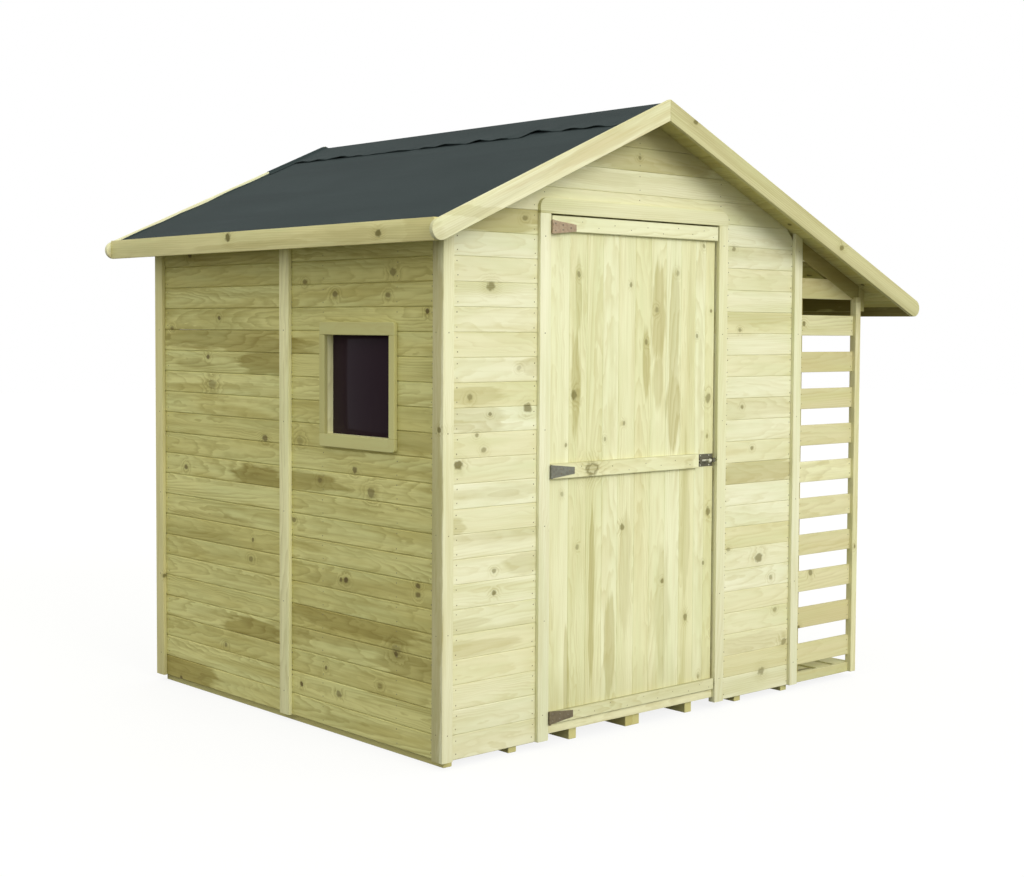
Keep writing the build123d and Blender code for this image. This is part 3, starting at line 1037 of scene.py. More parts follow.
def row_height(row: int) -> tuple[float, float]:
    """Lowest and highest edge of a wall board, counted from the skirt."""
    return SKIRT + row * COVER, SKIRT + (row + 1) * COVER


def left_hearts(*rows: tuple[float, ...]) -> tuple[DarkPatch, ...]:
    """Patches of the left wall, each on one of its boards.

    Args:
        rows: Centre along Y and Z, half the length and height, number of the board and depth of
            each patch.

    Returns:
        The patches.
    """
    return tuple(DarkPatch((TRIM_T, y, z), (60, half_y, half_z), *row_height(row), depth)
                 for y, z, half_y, half_z, row, depth in rows)


def front_hearts(*rows: tuple[float, ...]) -> tuple[DarkPatch, ...]:
    """Patches of the front wall, as `left_hearts` with X for Y."""
    return tuple(DarkPatch((x, TRIM_T, z), (half_x, 60, half_z), *row_height(row), depth)
                 for x, z, half_x, half_z, row, depth in rows)


LEFT_HEARTS = left_hearts(
    (1500, 1500, 450, 55, 16, 0.8), (1150, 1440, 330, 60, 16, 0.8),
    (1150, 1390, 190, 50, 15, 0.9), (1700, 1380, 130, 22, 15, 0.5), (1190, 930, 190, 52, 10, 1.0),
    (1230, 320, 250, 42, 3, 1.0), (1830, 60, 340, 62, 0, 1.0), (830, 945, 220, 36, 10, 0.9),
    (560, 440, 420, 38, 4, 0.8), (180, 330, 230, 60, 3, 0.7), (760, 370, 330, 30, 3, 0.6),
    (170, 1150, 130, 60, 12, 0.5), (480, 1900, 330, 50, 21, 0.4), (1500, 1800, 430, 60, 20, 0.35),
    (1600, 730, 360, 40, 8, 0.45), (1500, 640, 420, 38, 7, 0.4), (560, 580, 330, 26, 6, 0.35),
)
LEFT_KNOTS = tuple(Knot(TRIM_T, y, z, half, 1.35, "x", depth) for y, z, half, depth in (
    (1721, 1834, 11, 0.7), (1490, 1570, 8, 0.8), (1874, 1528, 8, 0.6), (1578, 1409, 9, 0.8),
    (1547, 1298, 19, 0.45), (1146, 1096, 12, 0.75), (1761, 940, 10, 0.7), (1251, 603, 10, 0.5),
    (1444, 227, 9, 0.6), (864, 1707, 9, 0.6), (666, 1659, 11, 0.7), (308, 1733, 13, 0.6),
    (337, 1651, 9, 0.6), (538, 1011, 11, 0.75), (764, 957, 10, 0.5), (438, 934, 17, 0.6),
    (595, 596, 11, 0.95), (158, 627, 9, 0.8), (158, 595, 9, 0.7), (286, 380, 18, 0.4),
    (286, 365, 9, 0.9), (382, 234, 9, 0.4), (640, 160, 11, 0.6), (940, 790, 9, 0.6),
    (900, 1100, 14, 0.3),
))
FRONT_HEARTS = front_hearts(
    (150, 1300, 130, 34, 14, 0.55), (110, 1225, 170, 60, 13, 0.5), (440, 1400, 70, 40, 15, 0.4),
    (260, 1930, 300, 60, 21, 0.85), (250, 950, 260, 22, 10, 0.25), (230, 800, 280, 36, 8, 0.25),
    (150, 412, 190, 30, 4, 0.4), (300, 450, 260, 42, 5, 0.25), (110, 499, 110, 20, 5, 0.4),
    (290, 946, 80, 13, 10, 0.5), (60, 844, 50, 34, 9, 0.55), (235, 803, 260, 17, 8, 0.45),
    (390, 695, 100, 40, 7, 0.4), (1010, 2270, 340, 80, 25, 1.0), (1060, 2190, 400, 70, 24, 0.85),
    (967, 2330, 220, 50, 26, 1.0), (1130, 2265, 160, 34, 25, 0.45), (760, 2100, 200, 30, 23, 0.2),
    (1680, 1240, 260, 70, 13, 0.25), (1660, 950, 300, 60, 10, 0.75),
    (1640, 1580, 240, 34, 17, 0.3), (1640, 240, 260, 34, 2, 0.3), (1600, 1850, 260, 40, 20, 0.25),
)
FRONT_KNOTS = tuple(Knot(x, TRIM_T, z, half, 1.2, "y", depth) for x, z, half, depth in (
    (383, 1930, 9, 0.6), (226, 1682, 15, 0.7), (358, 1394, 8, 0.3), (132, 1295, 10, 0.6),
    (400, 1250, 14, 0.75), (224, 1233, 7, 0.7), (164, 1161, 7, 0.6), (197, 1107, 9, 0.6),
    (79, 1060, 14, 0.85), (246, 674, 8, 0.6), (246, 595, 9, 0.8), (965, 2188, 7, 0.6),
    (1513, 1864, 9, 0.6), (1556, 1536, 7, 0.6), (1574, 1221, 7, 0.6), (1640, 1050, 7, 0.6),
    (1690, 590, 17, 0.7), (1770, 500, 9, 0.5), (1800, 360, 9, 0.5), (1860, 215, 13, 0.6),
    (1715, 110, 15, 0.6), (1500, 640, 8, 0.4),
))
DOOR_KNOTS = tuple(Knot(x, 18, z, half, 0.75, "y", depth) for x, z, half, depth in (
    (652, 1738, 11, 0.6), (631, 1291, 17, 0.75), (925, 1704, 9, 0.6), (1010, 1487, 10, 0.55),
    (1069, 1611, 11, 0.5), (1185, 1757, 10, 0.4), (1299, 1511, 8, 0.6), (1335, 1869, 9, 0.5),
    (1381, 1611, 8, 0.7), (1369, 1263, 17, 0.6), (1365, 1110, 8, 0.5), (894, 1178, 8, 0.6),
    (793, 1121, 7, 0.5), (592, 1107, 7, 0.6), (574, 927, 9, 0.4), (888, 780, 13, 0.7),
    (652, 724, 9, 0.5), (1376, 807, 15, 0.7), (1112, 550, 9, 0.7), (1350, 599, 8, 0.6),
    (1247, 392, 13, 0.65), (1403, 308, 9, 0.6), (1327, 143, 9, 0.5),
)) + (Knot(711, 0, 1015, 22, 1.3, "y", 0.9, 0.7),)
DOOR_HEARTS = tuple(DarkPatch((x, 18, z), (wide, 60, high), depth=depth)
                    for x, z, wide, high, depth in (
    (1078, 1590, 36, 190, 0.8), (1078, 1330, 26, 120, 0.6), (1012, 1420, 20, 150, 0.8),
    (1164, 1500, 30, 330, 0.6), (1164, 1220, 40, 160, 0.8), (640, 1360, 22, 190, 0.75),
    (652, 1640, 16, 130, 0.5), (1260, 1560, 20, 190, 0.2), (728, 520, 14, 330, 0.75),
    (825, 330, 26, 220, 0.7), (600, 250, 16, 170, 0.6), (1112, 430, 40, 250, 0.4),
    (1320, 1250, 16, 260, 0.25), (905, 600, 30, 240, 0.4), (1240, 800, 30, 260, 0.4),
))
TRIM_KNOTS = (
    Knot(-140, 1160, 1879, 15, 1.3, "x", 0.95), Knot(-140, 185, 1859, 11, 1.4, "x", 0.9),
    Knot(0, 1924, 458, 9, 1.0, "x"), Knot(0, 1864, 495, 9, 1.0, "x"),
    Knot(0, 22, 1185, 9, 1.0, "x"), Knot(1106, -142, 2323, 9), Knot(2017, -142, 1883, 10),
    Knot(2325, 0, 583, 12, 1.2, "y", 0.7),
)
SLAT_KNOTS = (
    Knot(1969, 16, 1564, 10, 1.0, "y", 0.8), Knot(2037, 16, 495, 13, 0.9, "y", 0.7),
    Knot(2180, 16, 720, 7, 1.0, "y", 0.4), Knot(2325, 0, 583, 9, 0.8, "y", 0.7),
)
# Painted shade: darker patches on the slats high under the roof's overhang.
SLAT_SHADE_PATCHES = (
    DarkPatch((2100, 16, 1715), (300, 60, 80), 1660, 1770, 0.7),
    DarkPatch((2100, 16, 1558), (300, 60, 80), 1500, 1610, 0.25),
)
TRIM_HEARTS_AND_SHADE = (
    DarkPatch((60, -142, 1925), (360, 60, 20), depth=0.4),
    DarkPatch((-140, 300, 1858), (60, 330, 26), depth=0.3),
    # Painted shade: the whole left face of the front left corner trim, which lies on the shaded
    # left side.
    DarkPatch((-3, 46, 960), (13, 42, 1300), depth=0.85),
    DarkPatch((-140, -60, 1858), (60, 90, 60), depth=0.4),
    DarkPatch((-140, 1000, 1846), (60, 420, 14), depth=0.4),
    DarkPatch((1150, -142, 2290), (90, 60, 40), depth=0.4),
)


@dataclass
class Palette:
    """Every finish of the shed, built once."""

    # Painted shade: a darker, more saturated copy of the boards for the shaded left wall; its
    # knots, patches and figure are the wood's own.
    wall_left: TimberFinish = TimberFinish(
        "treated_boards_left_painted_shade", pale=paint(227, 223, 153), deep=paint(208, 201, 128),
        figure=paint(164, 152, 80), band=paint(190, 180, 105), heart=(0.62, 0.57, 0.42, 1.0),
        knot=paint(96, 82, 44), figure_share=0.48, streak_share=0.5, band_share=0.65,
        knots=LEFT_KNOTS, hearts=LEFT_HEARTS, rarity=0.88)
    # Its boards are darker towards the ground: painted shade, with damp.
    wall_front: TimberFinish = TimberFinish(
        "treated_boards_front", knots=FRONT_KNOTS, hearts=FRONT_HEARTS, rarity=1.0,
        figure_share=0.28, band_share=0.22, shade_and_wet=0.6)
    head: TimberFinish = replace(
        wall_front, name="treated_head_trim", pale=paint(230, 229, 190), deep=paint(220, 216, 164))
    wall: TimberFinish = TimberFinish("treated_boards", figure_share=0.45, band_share=0.5)
    trim: TimberFinish = TimberFinish(
        "treated_trim", figure_share=0.2, streak_share=0.28, band_share=0.25, knots=TRIM_KNOTS,
        hearts=TRIM_HEARTS_AND_SHADE, rarity=0.86, knot_size=0.008)
    # Darker towards the ground, painted shade with damp, and dusty where its faces look up.
    door: TimberFinish = TimberFinish(
        "treated_door_boards", pale=paint(240, 241, 204), deep=paint(232, 230, 184),
        knots=DOOR_KNOTS, hearts=DOOR_HEARTS, rarity=1.0, shade_and_wet=1.0, dust=0.5)
    # Painted shade: a darker, yellower copy of the trim for the left eave fascia and the back left
    # corner trim, which face the shaded left side.
    trim_left_painted_shade: TimberFinish = TimberFinish(
        "treated_trim_left", pale=paint(233, 226, 168), deep=paint(220, 210, 148), band_share=0.5,
        streak_share=0.4, knots=TRIM_KNOTS, hearts=TRIM_HEARTS_AND_SHADE, rarity=0.9, knot_size=0.008)
    barge_left: TimberFinish = replace(
        trim, name="treated_barge_left", band=paint(206, 192, 144), band_share=0.6,
        streak_share=0.45)
    # Painted light: a paler copy of the trim for the left wall's batten and the window liner, which
    # lie in the left wall's shade.
    trim_painted_light: TimberFinish = TimberFinish(
        "treated_trim_pale", pale=paint(252, 250, 200), deep=paint(250, 245, 190), band_share=0.2,
        rarity=0.92)
    trim_right: TimberFinish = TimberFinish(
        "treated_trim_right", pale=paint(208, 204, 156), deep=paint(196, 190, 138),
        figure=paint(160, 148, 92), band=paint(180, 170, 118), streak_share=0.4, knots=TRIM_KNOTS,
        rarity=0.86, knot_size=0.008)
    # Painted shade: the right fascia keeps the right trim's colours, with its inner face near black
    # under the roof.
    eave_right_painted_shade: TimberFinish = replace(
        trim_right, name="treated_trim_right_eave", heart=(0.42, 0.39, 0.28, 1.0),
        hearts=(DarkPatch((2544, 995, 1600), (7, 1900, 140)),))
    slat: TimberFinish = TimberFinish(
        "treated_slats", pale=paint(236, 233, 192), deep=paint(204, 195, 146),
        figure=paint(186, 174, 116), band_share=0.5, rarity=0.7, knots=SLAT_KNOTS,
        hearts=SLAT_SHADE_PATCHES)
    store_floor: TimberFinish = replace(
        slat, name="treated_store_floor", pale=paint(213, 212, 166), deep=paint(184, 178, 126),
        hearts=())
    window_wood: TimberFinish = TimberFinish(
        "treated_window_frame", pale=paint(208, 204, 140), deep=paint(188, 183, 120), rarity=0.95)
    soffit: TimberFinish = TimberFinish(
        "sawn_roof_boards", pale=paint(214, 207, 142), deep=paint(198, 190, 122),
        figure=paint(160, 148, 84), rough=0.85)
    # Painted shade: a darker copy of the roof boards for the store's sloping rails and battens,
    # which lie under the overhang.
    store_rail_painted_shade: TimberFinish = replace(
        soffit, name="sawn_store_rail", pale=paint(160, 148, 86), deep=paint(148, 136, 76))
    rough_sawn: TimberFinish = TimberFinish(
        "sawn_framing", pale=paint(208, 201, 138), deep=paint(186, 176, 110), rough=0.85)
    # Painted shade: the store's eave beam is darker than the framing, and its face at the store's
    # outer edge near black, where little light reaches under the roof.
    eave_beam: TimberFinish = TimberFinish(
        "sawn_eave_beam_painted_shade", pale=paint(196, 188, 126), deep=paint(176, 166, 102), rough=0.85,
        heart=(0.34, 0.31, 0.22, 1.0), hearts=(DarkPatch((2344, 995, 1700), (2.5, 1900, 140)),))
    felt: FeltFinish = FeltFinish("mineral_felt")
    pane: PaneFinish = PaneFinish("glazing_sheet")
    top_hinge: IronFinish = IronFinish(
        "hinge_plating_tan", paint(176, 156, 128), paint(140, 108, 84))
    middle_hinge: IronFinish = IronFinish(
        "hinge_plating_grey", paint(120, 121, 108), paint(84, 80, 64))
    bottom_hinge: IronFinish = IronFinish(
        "hinge_plating_brown", paint(108, 97, 72), paint(76, 62, 42))
    latch: IronFinish = IronFinish(
        "latch_plating", paint(98, 95, 76), paint(58, 53, 38), 0.45, 0.5)
    knob: IronFinish = IronFinish(
        "bolt_plating", paint(206, 205, 188), paint(160, 156, 138), 0.3, 0.35, 0.4)
    nail: IronFinish = IronFinish("nail_heads", paint(136, 129, 96), paint(96, 86, 60), 0.3, 0.5)
    screw: IronFinish = IronFinish(
        "screw_heads", paint(132, 124, 104), paint(84, 74, 56), 0.3, 0.5)
    built: dict[str, bpy.types.Material] = field(default_factory=dict)

    def get(self, name: str) -> bpy.types.Material:
        """The named finish's material."""
        if name not in self.built:
            self.built[name] = getattr(self, name).material()
        return self.built[name]


@dataclass
class Studio:
    """Camera at the photograph's viewing angle, soft light and a pale floor."""

    spot: Point = (-4.6588, -5.3236, 1.5307)
    yaw: float = 0.7534
    pitch: float = -0.0486
    roll: float = 0.0072
    focal: float = 1612.667
    middle: tuple[float, float] = (573.51, 408.61)
    picture: tuple[int, int] = (1024, 877)
    sensor: float = 36.0
    key_strength: float = 1.55
    key_angle: float = 32.0
    key_from: Point = (0.03, -0.92, 0.38)
    sky: float = 1.02
    floor_glow: float = 0.85

    def camera(self) -> None:
        """Puts the camera where the photograph was taken from."""
        ahead = Vector((math.sin(self.yaw) * math.cos(self.pitch),
                        math.cos(self.yaw) * math.cos(self.pitch), math.sin(self.pitch)))
        level = Vector((math.cos(self.yaw), -math.sin(self.yaw), 0))
        up = level.cross(ahead)
        right = math.cos(self.roll) * level + math.sin(self.roll) * up
        up = -math.sin(self.roll) * level + math.cos(self.roll) * up
        data = bpy.data.cameras.new("camera")
        data.sensor_width = self.sensor
        data.sensor_fit = "HORIZONTAL"
        wide, high = self.picture
        data.lens = self.focal * self.sensor / wide
        data.shift_x = (wide / 2 - self.middle[0]) / wide
        data.shift_y = (self.middle[1] - high / 2) / wide
        data.clip_end = 100
        camera = bpy.data.objects.new("camera", data)
        camera.matrix_world = Matrix.Translation(self.spot) @ Matrix(
            (right, up, -ahead)).transposed().to_4x4()
        bpy.context.scene.collection.objects.link(camera)
        bpy.context.scene.camera = camera

    def seen_directly(self, g: Graph) -> Any:
        """1 for rays that show the background: from the camera, a mirror or glass."""
        path = g.add("ShaderNodeLightPath").outputs
        seen = g.sum("ADD", path["Is Camera Ray"], path["Is Glossy Ray"])
        return g.sum("ADD", seen, path["Is Transmission Ray"], clamp=True)

    def light(self) -> None:
        """A broad key light from the front, and an even sky."""
        data = bpy.data.lights.new("key", "SUN")
        data.energy = self.key_strength
        data.angle = math.radians(self.key_angle)
        data.color = (1.0, 0.995, 0.97)
        key = bpy.data.objects.new("key", data)
        key.rotation_mode = "QUATERNION"
        key.rotation_quaternion = Vector(self.key_from).to_track_quat("Z", "Y")
        bpy.context.scene.collection.objects.link(key)
        world = bpy.data.worlds.new("sky")
        world.use_nodes = True
        bpy.context.scene.world = world
        g = Graph(world.node_tree)
        backdrop = world.node_tree.nodes["Background"]
        seen = self.seen_directly(g)
        g.put(backdrop.inputs["Color"], g.blend(seen, (1.0, 1.0, 0.96, 1.0), (1, 1, 1, 1)))
        g.put(backdrop.inputs["Strength"], g.span(seen, 0.0, 1.0, self.sky, 1.0))

    def floor(self) -> None:
        """A wide pale floor that shows nearly white and keeps the shed's shadow."""
        bm = bmesh.new()
        bmesh.ops.create_grid(bm, x_segments=1, y_segments=1, size=30.0)
        mesh = poured(bm, "floor_plane")
        mat = bpy.data.materials.new("pale_floor")
        mat.use_nodes = True
        g = Graph(mat.node_tree)
        shader = mat.node_tree.nodes["Principled BSDF"]
        shader.inputs["Base Color"].default_value = (0.15, 0.15, 0.14, 1)
        shader.inputs["Roughness"].default_value = 1.0
        shader.inputs["Specular IOR Level"].default_value = 0.0
        shader.inputs["Emission Color"].default_value = (1, 1, 1, 1)
        g.put(shader.inputs["Emission Strength"],
              g.sum("MULTIPLY", self.seen_directly(g), self.floor_glow))
        mesh.materials.append(mat)
        plane = bpy.data.objects.new("studio_floor", mesh)
        bpy.context.scene.collection.objects.link(plane)

    def build(self) -> None:
        """Sets up camera, lights, floor and view."""
        self.camera()
        self.light()
        self.floor()
        bpy.context.scene.view_settings.view_transform = "Standard"


@dataclass
class Part:
    """Sub-assembly of the shed, dressed from the shared palette."""

    palette: Palette

    def stand(self, name: str, made: Timbers | bpy.types.Mesh, finish: str, slot: Slot,
              *nodes: str, body: str = "shed") -> None:
        """Stands a stack of timbers or a mesh in its place as one piece.

        Args:
            name: The piece's name.
            made: The timbers or the mesh, in the shared frame.
            finish: Its finish in the palette.
            slot: Not used.
            nodes: CAD nodes that it stands for.
            body: The body it moves with.
        """
        mesh = made.mesh(name) if isinstance(made, Timbers) else made
        piece = bpy.data.objects.new(name, mesh)
        bpy.context.scene.collection.objects.link(piece)
        mesh.materials.clear()
        mesh.materials.append(self.palette.get(finish))
        mesh.shade_smooth()
        mesh.set_sharp_from_angle(angle=CRISP_FROM)
        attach(piece, body)
        if nodes:
            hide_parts(*nodes)
        log.info("%s: %d faces on %s", name, len(mesh.polygons), body)

    def dress(self, node: str, finish: str, slot: Slot, axis: Axis = Axis.Z, lean: float = 0.0,
              width: float = 0.0015, body: str = "shed") -> None:
        """Stands a softened copy of a CAD node in its place, named after it.

        Args:
            node: The CAD node.
            finish: The copy's finish in the palette.
            slot: The record's material slot.
            axis: Direction of the grain.
            lean: Turn of the grain about Y, in radians, for a sloping board.
            width: Arris taken off the edges, in metres.
            body: The body it moves with.
        """
        mesh = eased(merged(node), width)
        rng = random.Random(node)
        turn = Matrix.Rotation(lean, 3, "Y")
        shift = Vector([rng.uniform(*limits) for limits in DRESSED_SHIFT])
        places = []
        for vertex in mesh.vertices:
            p = turn @ vertex.co
            places.append([p[i] + shift[k] for k, i in enumerate(axis.order())])
        tone = rng.random() * DRESSED_TONE
        store_grain(mesh, places, [tone] * len(places))
        self.stand(node + "_dressed", mesh, finish, slot, node, body=body)

    def lay(self, name: str, finish: str, place: Matrix, rows: Sequence[BoardRow],
            *nodes: str) -> None:
        """Lays rows of boards that share one frame as one piece.

        Args:
            name: The piece's name.
            finish: Its finish in the palette.
            place: Turn and move from the rows' frame to the shared one.
            rows: The rows, in order.
            nodes: CAD nodes that they stand for.
        """
        wood = self.palette.get(finish)
        meshes = [row.mesh(wood, place) for row in rows]
        mesh = joined(name, meshes) if len(meshes) > 1 else meshes[0]
        self.stand(name, mesh, finish, Slot.WALL, *nodes)


@dataclass
class Cladding(Part):
    """Wall boards of the body, laid in rows from the skirt to the roof."""

    rows: int = 22
    top_rows: int = 5
    joint_half: float = 0.5

    def side(self, start: float, end: float, seed: int, **more: Any) -> BoardRow:
        """Row of boards under an eave, cut along the slope."""
        return BoardRow(start, end, SKIRT, self.rows, seed, peak=under(TRIM_T), lean=-SLOPE,
                        joint=3.4, **more)

    def front(self) -> None:
        """Boards beside the doorway and across the gable."""
        shape = {"peak": RIDGE_H, "slope": SLOPE, "inner": 0.0, "joint": 2.0, "gap": 0.4}
        start, end = TRIM_T - RIDGE_X, BODY_W - TRIM_T - RIDGE_X
        self.lay("front_boards", "wall_front", facing(0, RIDGE_X, TRIM_T), (
            BoardRow(start, DOOR_LEFT - RIDGE_X, SKIRT, self.rows, 11, **shape),
            BoardRow(DOOR_RIGHT - RIDGE_X, end, SKIRT, self.rows, 23, **shape),
            BoardRow(start, end, SKIRT + self.rows * COVER, self.top_rows, 37, **shape),
        ), "front_wall_left", "front_wall_right", "front_gable")

    def back(self) -> None:
        """Boards across the back, parted under the middle batten."""
        shape = {"peak": RIDGE_H, "slope": SLOPE, "inner": 0.0}
        count = self.rows + self.top_rows
        self.lay("back_boards", "wall", facing(2, RIDGE_X, BODY_D - TRIM_T), (
            BoardRow(TRIM_T - RIDGE_X, -self.joint_half, SKIRT, count, 41, **shape),
            BoardRow(self.joint_half, RIDGE_X - TRIM_T, SKIRT, count, 59, **shape),
        ), "back_wall")

    def left(self) -> None:
        """Two panels, the front one with the window hole."""
        y0, y1, z0, z1 = WINDOW_HOLE
        hole = (-y1, -50, z0), (-y0, 50, z1)
        rear = self.side(INNER - BODY_D, -PANEL_JOINT - self.joint_half, 61)
        front = self.side(self.joint_half - PANEL_JOINT, -INNER, 73, hole=hole)
        for end, row in (("rear", rear), ("front", front)):
            self.lay(f"left_{end}_boards", "wall_left", facing(-1, TRIM_T, 0), [row],
                     f"left_wall_{end}")

    def right(self) -> None:
        """Boards towards the wood store."""
        self.lay("right_boards", "wall", facing(1, BODY_W - TRIM_T, 0), (
            self.side(INNER, PANEL_JOINT - self.joint_half, 83),
            self.side(PANEL_JOINT + self.joint_half, BODY_D - INNER, 97),
        ), "right_wall")

    def build(self) -> None:
        """Lays the boards of all four walls."""
        self.front()
        self.back()
        self.left()
        self.right()


@dataclass
class Framing(Part):
    """Studs and rails behind the boards, and the strips that the door closes on."""

    door_top: float = 1952.0
    packing: float = 9.5
    stop: float = 15.0
    stop_y: float = 42.0
    sill_top: float = 77.0

    def gable_stud(self, stack: Timbers, x: float, foot: float, y0: float, y1: float) -> None:
        """Upright of a gable wall, cut along the roof.

        Args:
            stack: Takes the upright.
            x: Its left side.
            foot: Its lower end.
            y0, y1: Its outer and inner face.
        """
        def cut(p: Vector) -> Vector:
            """Brings a top corner to the roof boards."""
            if p.z > (foot + 100) / 1000:
                p.z = under(p.x * 1000 + CORNER_X) / 1000
            return p
        stack.add((x, y0, foot), (x + STUD, y1, under(x)), Axis.Z, cut=cut)

    def gable(self, stack: Timbers, y0: float, y1: float, studs: Sequence[tuple[float, float]],
              rails: Sequence[tuple[float, float, float]]) -> None:
        """Studs and rails of one gable wall.

        Args:
            stack: Takes the timbers.
            y0, y1: Near and far face of the frame.
            studs: Left side and lower end of each stud.
            rails: Two ends and underside of each rail.
        """
        for x, foot in studs:
            self.gable_stud(stack, x, foot, y0, y1)
        for x0, x1, z in rails:
            stack.add((x0, y0, z), (x1, y1, z + STUD), Axis.X)

    def side(self, stack: Timbers, x0: float, x1: float, uprights: Sequence[float]) -> None:
        """Studs and the two plates of one side wall.

        Args:
            stack: Takes the timbers.
            x0, x1: Left and right face of the frame.
            uprights: Near side of each stud.
        """
        top = min(under(x0), under(x1))
        near, far = FRAME_IN, BODY_D - FRAME_IN
        stack.add((x0, near, DECK_TOP), (x1, far, DECK_TOP + STUD), Axis.Y)
        stack.add((x0, near, top - STUD), (x1, far, top), Axis.Y)
        for y in uprights:
            stack.add((x0, y, DECK_TOP + STUD), (x1, y + STUD, top - STUD), Axis.Z)

    def gables(self, stack: Timbers) -> None:
        """Frames of the front wall, open for the door, and of the back wall."""
        last, middle = BODY_W - INNER - STUD, RIDGE_X - STUD / 2
        self.gable(stack, INNER, FRAME_IN, (
            (INNER, DECK_TOP), (DOOR_LEFT - STUD, DECK_TOP), (DOOR_RIGHT, DECK_TOP),
            (last, DECK_TOP), (middle, self.door_top + STUD)), (
            (INNER + STUD, DOOR_LEFT - STUD, DECK_TOP), (DOOR_RIGHT + STUD, last, DECK_TOP),
            (DOOR_LEFT, DOOR_RIGHT, self.door_top)))
        self.gable(stack, BODY_D - FRAME_IN, BODY_D - INNER, (
            (INNER, DECK_TOP), (middle, DECK_TOP), (last, DECK_TOP)), (
            (INNER + STUD, middle, DECK_TOP), (middle + STUD, last, DECK_TOP)))

    def sides(self, stack: Timbers) -> None:
        """Frames of the left wall, with the window's rails, and of the right wall."""
        y0, y1, z0, z1 = WINDOW_HOLE
        last = BODY_D - FRAME_IN - STUD
        self.side(stack, INNER, FRAME_IN,
                  (FRAME_IN, y0 - STUD, y1, PANEL_JOINT - STUD, PANEL_JOINT, last))
        for z in (z0 - STUD, z1):
            stack.add((INNER, y0, z), (FRAME_IN, y1, z + STUD), Axis.Y)
        self.side(stack, BODY_W - FRAME_IN, BODY_W - INNER,
                  (FRAME_IN, PANEL_JOINT - STUD / 2, last))

    def doorway(self, stack: Timbers) -> None:
        """Strips that the door closes on, and the packing over it."""
        s, y, top = self.stop, self.stop_y, self.door_top
        for x in (DOOR_LEFT, DOOR_RIGHT - s):
            stack.add((x, y, self.sill_top), (x + s, FRAME_IN, top), Axis.Z)
        stack.add((DOOR_LEFT + s, y, top - s), (DOOR_RIGHT - s, FRAME_IN, top), Axis.X)
        stack.add((DOOR_LEFT, TRIM_T, top), (DOOR_RIGHT, INNER, top + self.packing), Axis.X, 0.5)

    def build(self) -> None:
        """Puts up the whole frame."""
        stack = Timbers(5)
        for frame_up in (self.gables, self.sides, self.doorway):
            frame_up(stack)
        self.stand("wall_framing", stack, "rough_sawn", Slot.FRAME, "front_gable",
                   "left_wall_rear", "left_wall_front", "right_wall", "back_wall")
        self.dress("middle_rafters", "rough_sawn", Slot.FRAME, Axis.X)


@dataclass
class Trims(Part):
    """Corner trims, battens and the trims round the doorway."""

    uprights: tuple[str, ...] = (
        "front_left_corner_trim", "back_left_corner_trim", "front_right_corner_trim",
        "back_right_corner_trim", "left_wall_batten", "back_wall_batten", "left_jamb_trim",
        "right_jamb_trim")

    def build(self) -> None:
        """Dresses each trim with its grain along it."""
        other = {"left_wall_batten": "trim_painted_light", "back_left_corner_trim": "trim_left_painted_shade"}
        for node in self.uprights:
            self.dress(node, other.get(node, "trim"), Slot.TRIM, Axis.Z)
        self.dress("door_head_trim", "head", Slot.TRIM, Axis.X)
        self.dress("door_sill", "slat", Slot.FRAME, Axis.X)


@dataclass
class Roof(Part):
    """Roof boards, fascias and barge boards."""

    thick: float = 18.0

    def slope_boards(self, end: str, side: int, run: float, seed: int) -> None:
        """Boards of one slope, from the ridge down, with their joints to the inside.

        Args:
            end: "left" or "right".
            side: -1 for the left slope and 1 for the right.
            run: Level distance from the ridge to the fascia, in millimetres.
            seed: Seed of the boards' random draws.
        """
        length = run / math.cos(LEAN)
        row = BoardRow(ROOF_FRONT, ROOF_BACK, 0.0, math.ceil(length / COVER), seed,
                       thick=self.thick, joint=2.5, peak=length, lean=SLOPE)
        # The row's X runs back, its Z down the slope and its -Y, the face, to the inside
        down = Vector((side * math.cos(LEAN), 0, -math.sin(LEAN)))
        inside = Vector((-side * math.sin(LEAN), 0, -math.cos(LEAN)))
        turn = Matrix((Vector((0, 1, 0)), -inside, down)).transposed()
        mesh = row.mesh(self.palette.get("soffit"),
                        Matrix.Translation(at(RIDGE_X, 0, RIDGE_H)) @ turn.to_4x4())
        if turn.determinant() < 0:
            mesh.flip_normals()
        self.stand(f"{end}_slope_boards", mesh, "soffit", Slot.WALL, f"roof_boards_{end}")

    def build(self) -> None:
        """Lays the roof and its edges."""
        self.slope_boards("left", -1, RIDGE_X - ROOF_LEFT, 103)
        self.slope_boards("right", 1, ROOF_RIGHT - RIDGE_X, 109)
        for side, fascia, barge, lean in (("left", "trim_left_painted_shade", "barge_left", LEAN),
                                          ("right", "eave_right_painted_shade", "trim_right", -LEAN)):
            self.dress(f"{side}_eave_fascia", fascia, Slot.TRIM, Axis.Y)
            for end in ("front", "back"):
                self.dress(f"{end}_{side}_barge", barge, Slot.TRIM, Axis.X, lean=lean)


def rounded(u0: float, v0: float, u1: float, v1: float, radii: Sequence[float],
            steps: int = 5) -> list[tuple[float, float]]:
    """Outline of a board with rounded corners.

    Args:
        u0, v0: Its lower left corner.
        u1, v1: Its upper right corner.
        radii: Radius at lower left, lower right, upper right and upper left.
        steps: Edges in each rounded corner.

    Returns:
        The corners, counter-clockwise.
    """
    points = []
    corners = ((u0, v0, 1, 1), (u1, v0, -1, 1), (u1, v1, -1, -1), (u0, v1, 1, -1))
    for quarter, ((u, v, side, up), radius) in enumerate(zip(corners, radii)):
        if not radius:
            points.append((u, v))
            continue
        for i in range(steps + 1):
            a = math.pi * (1 + quarter / 2 + i / steps / 2)
            points.append((u + side * radius + radius * math.cos(a),
                           v + up * radius + radius * math.sin(a)))
    return points


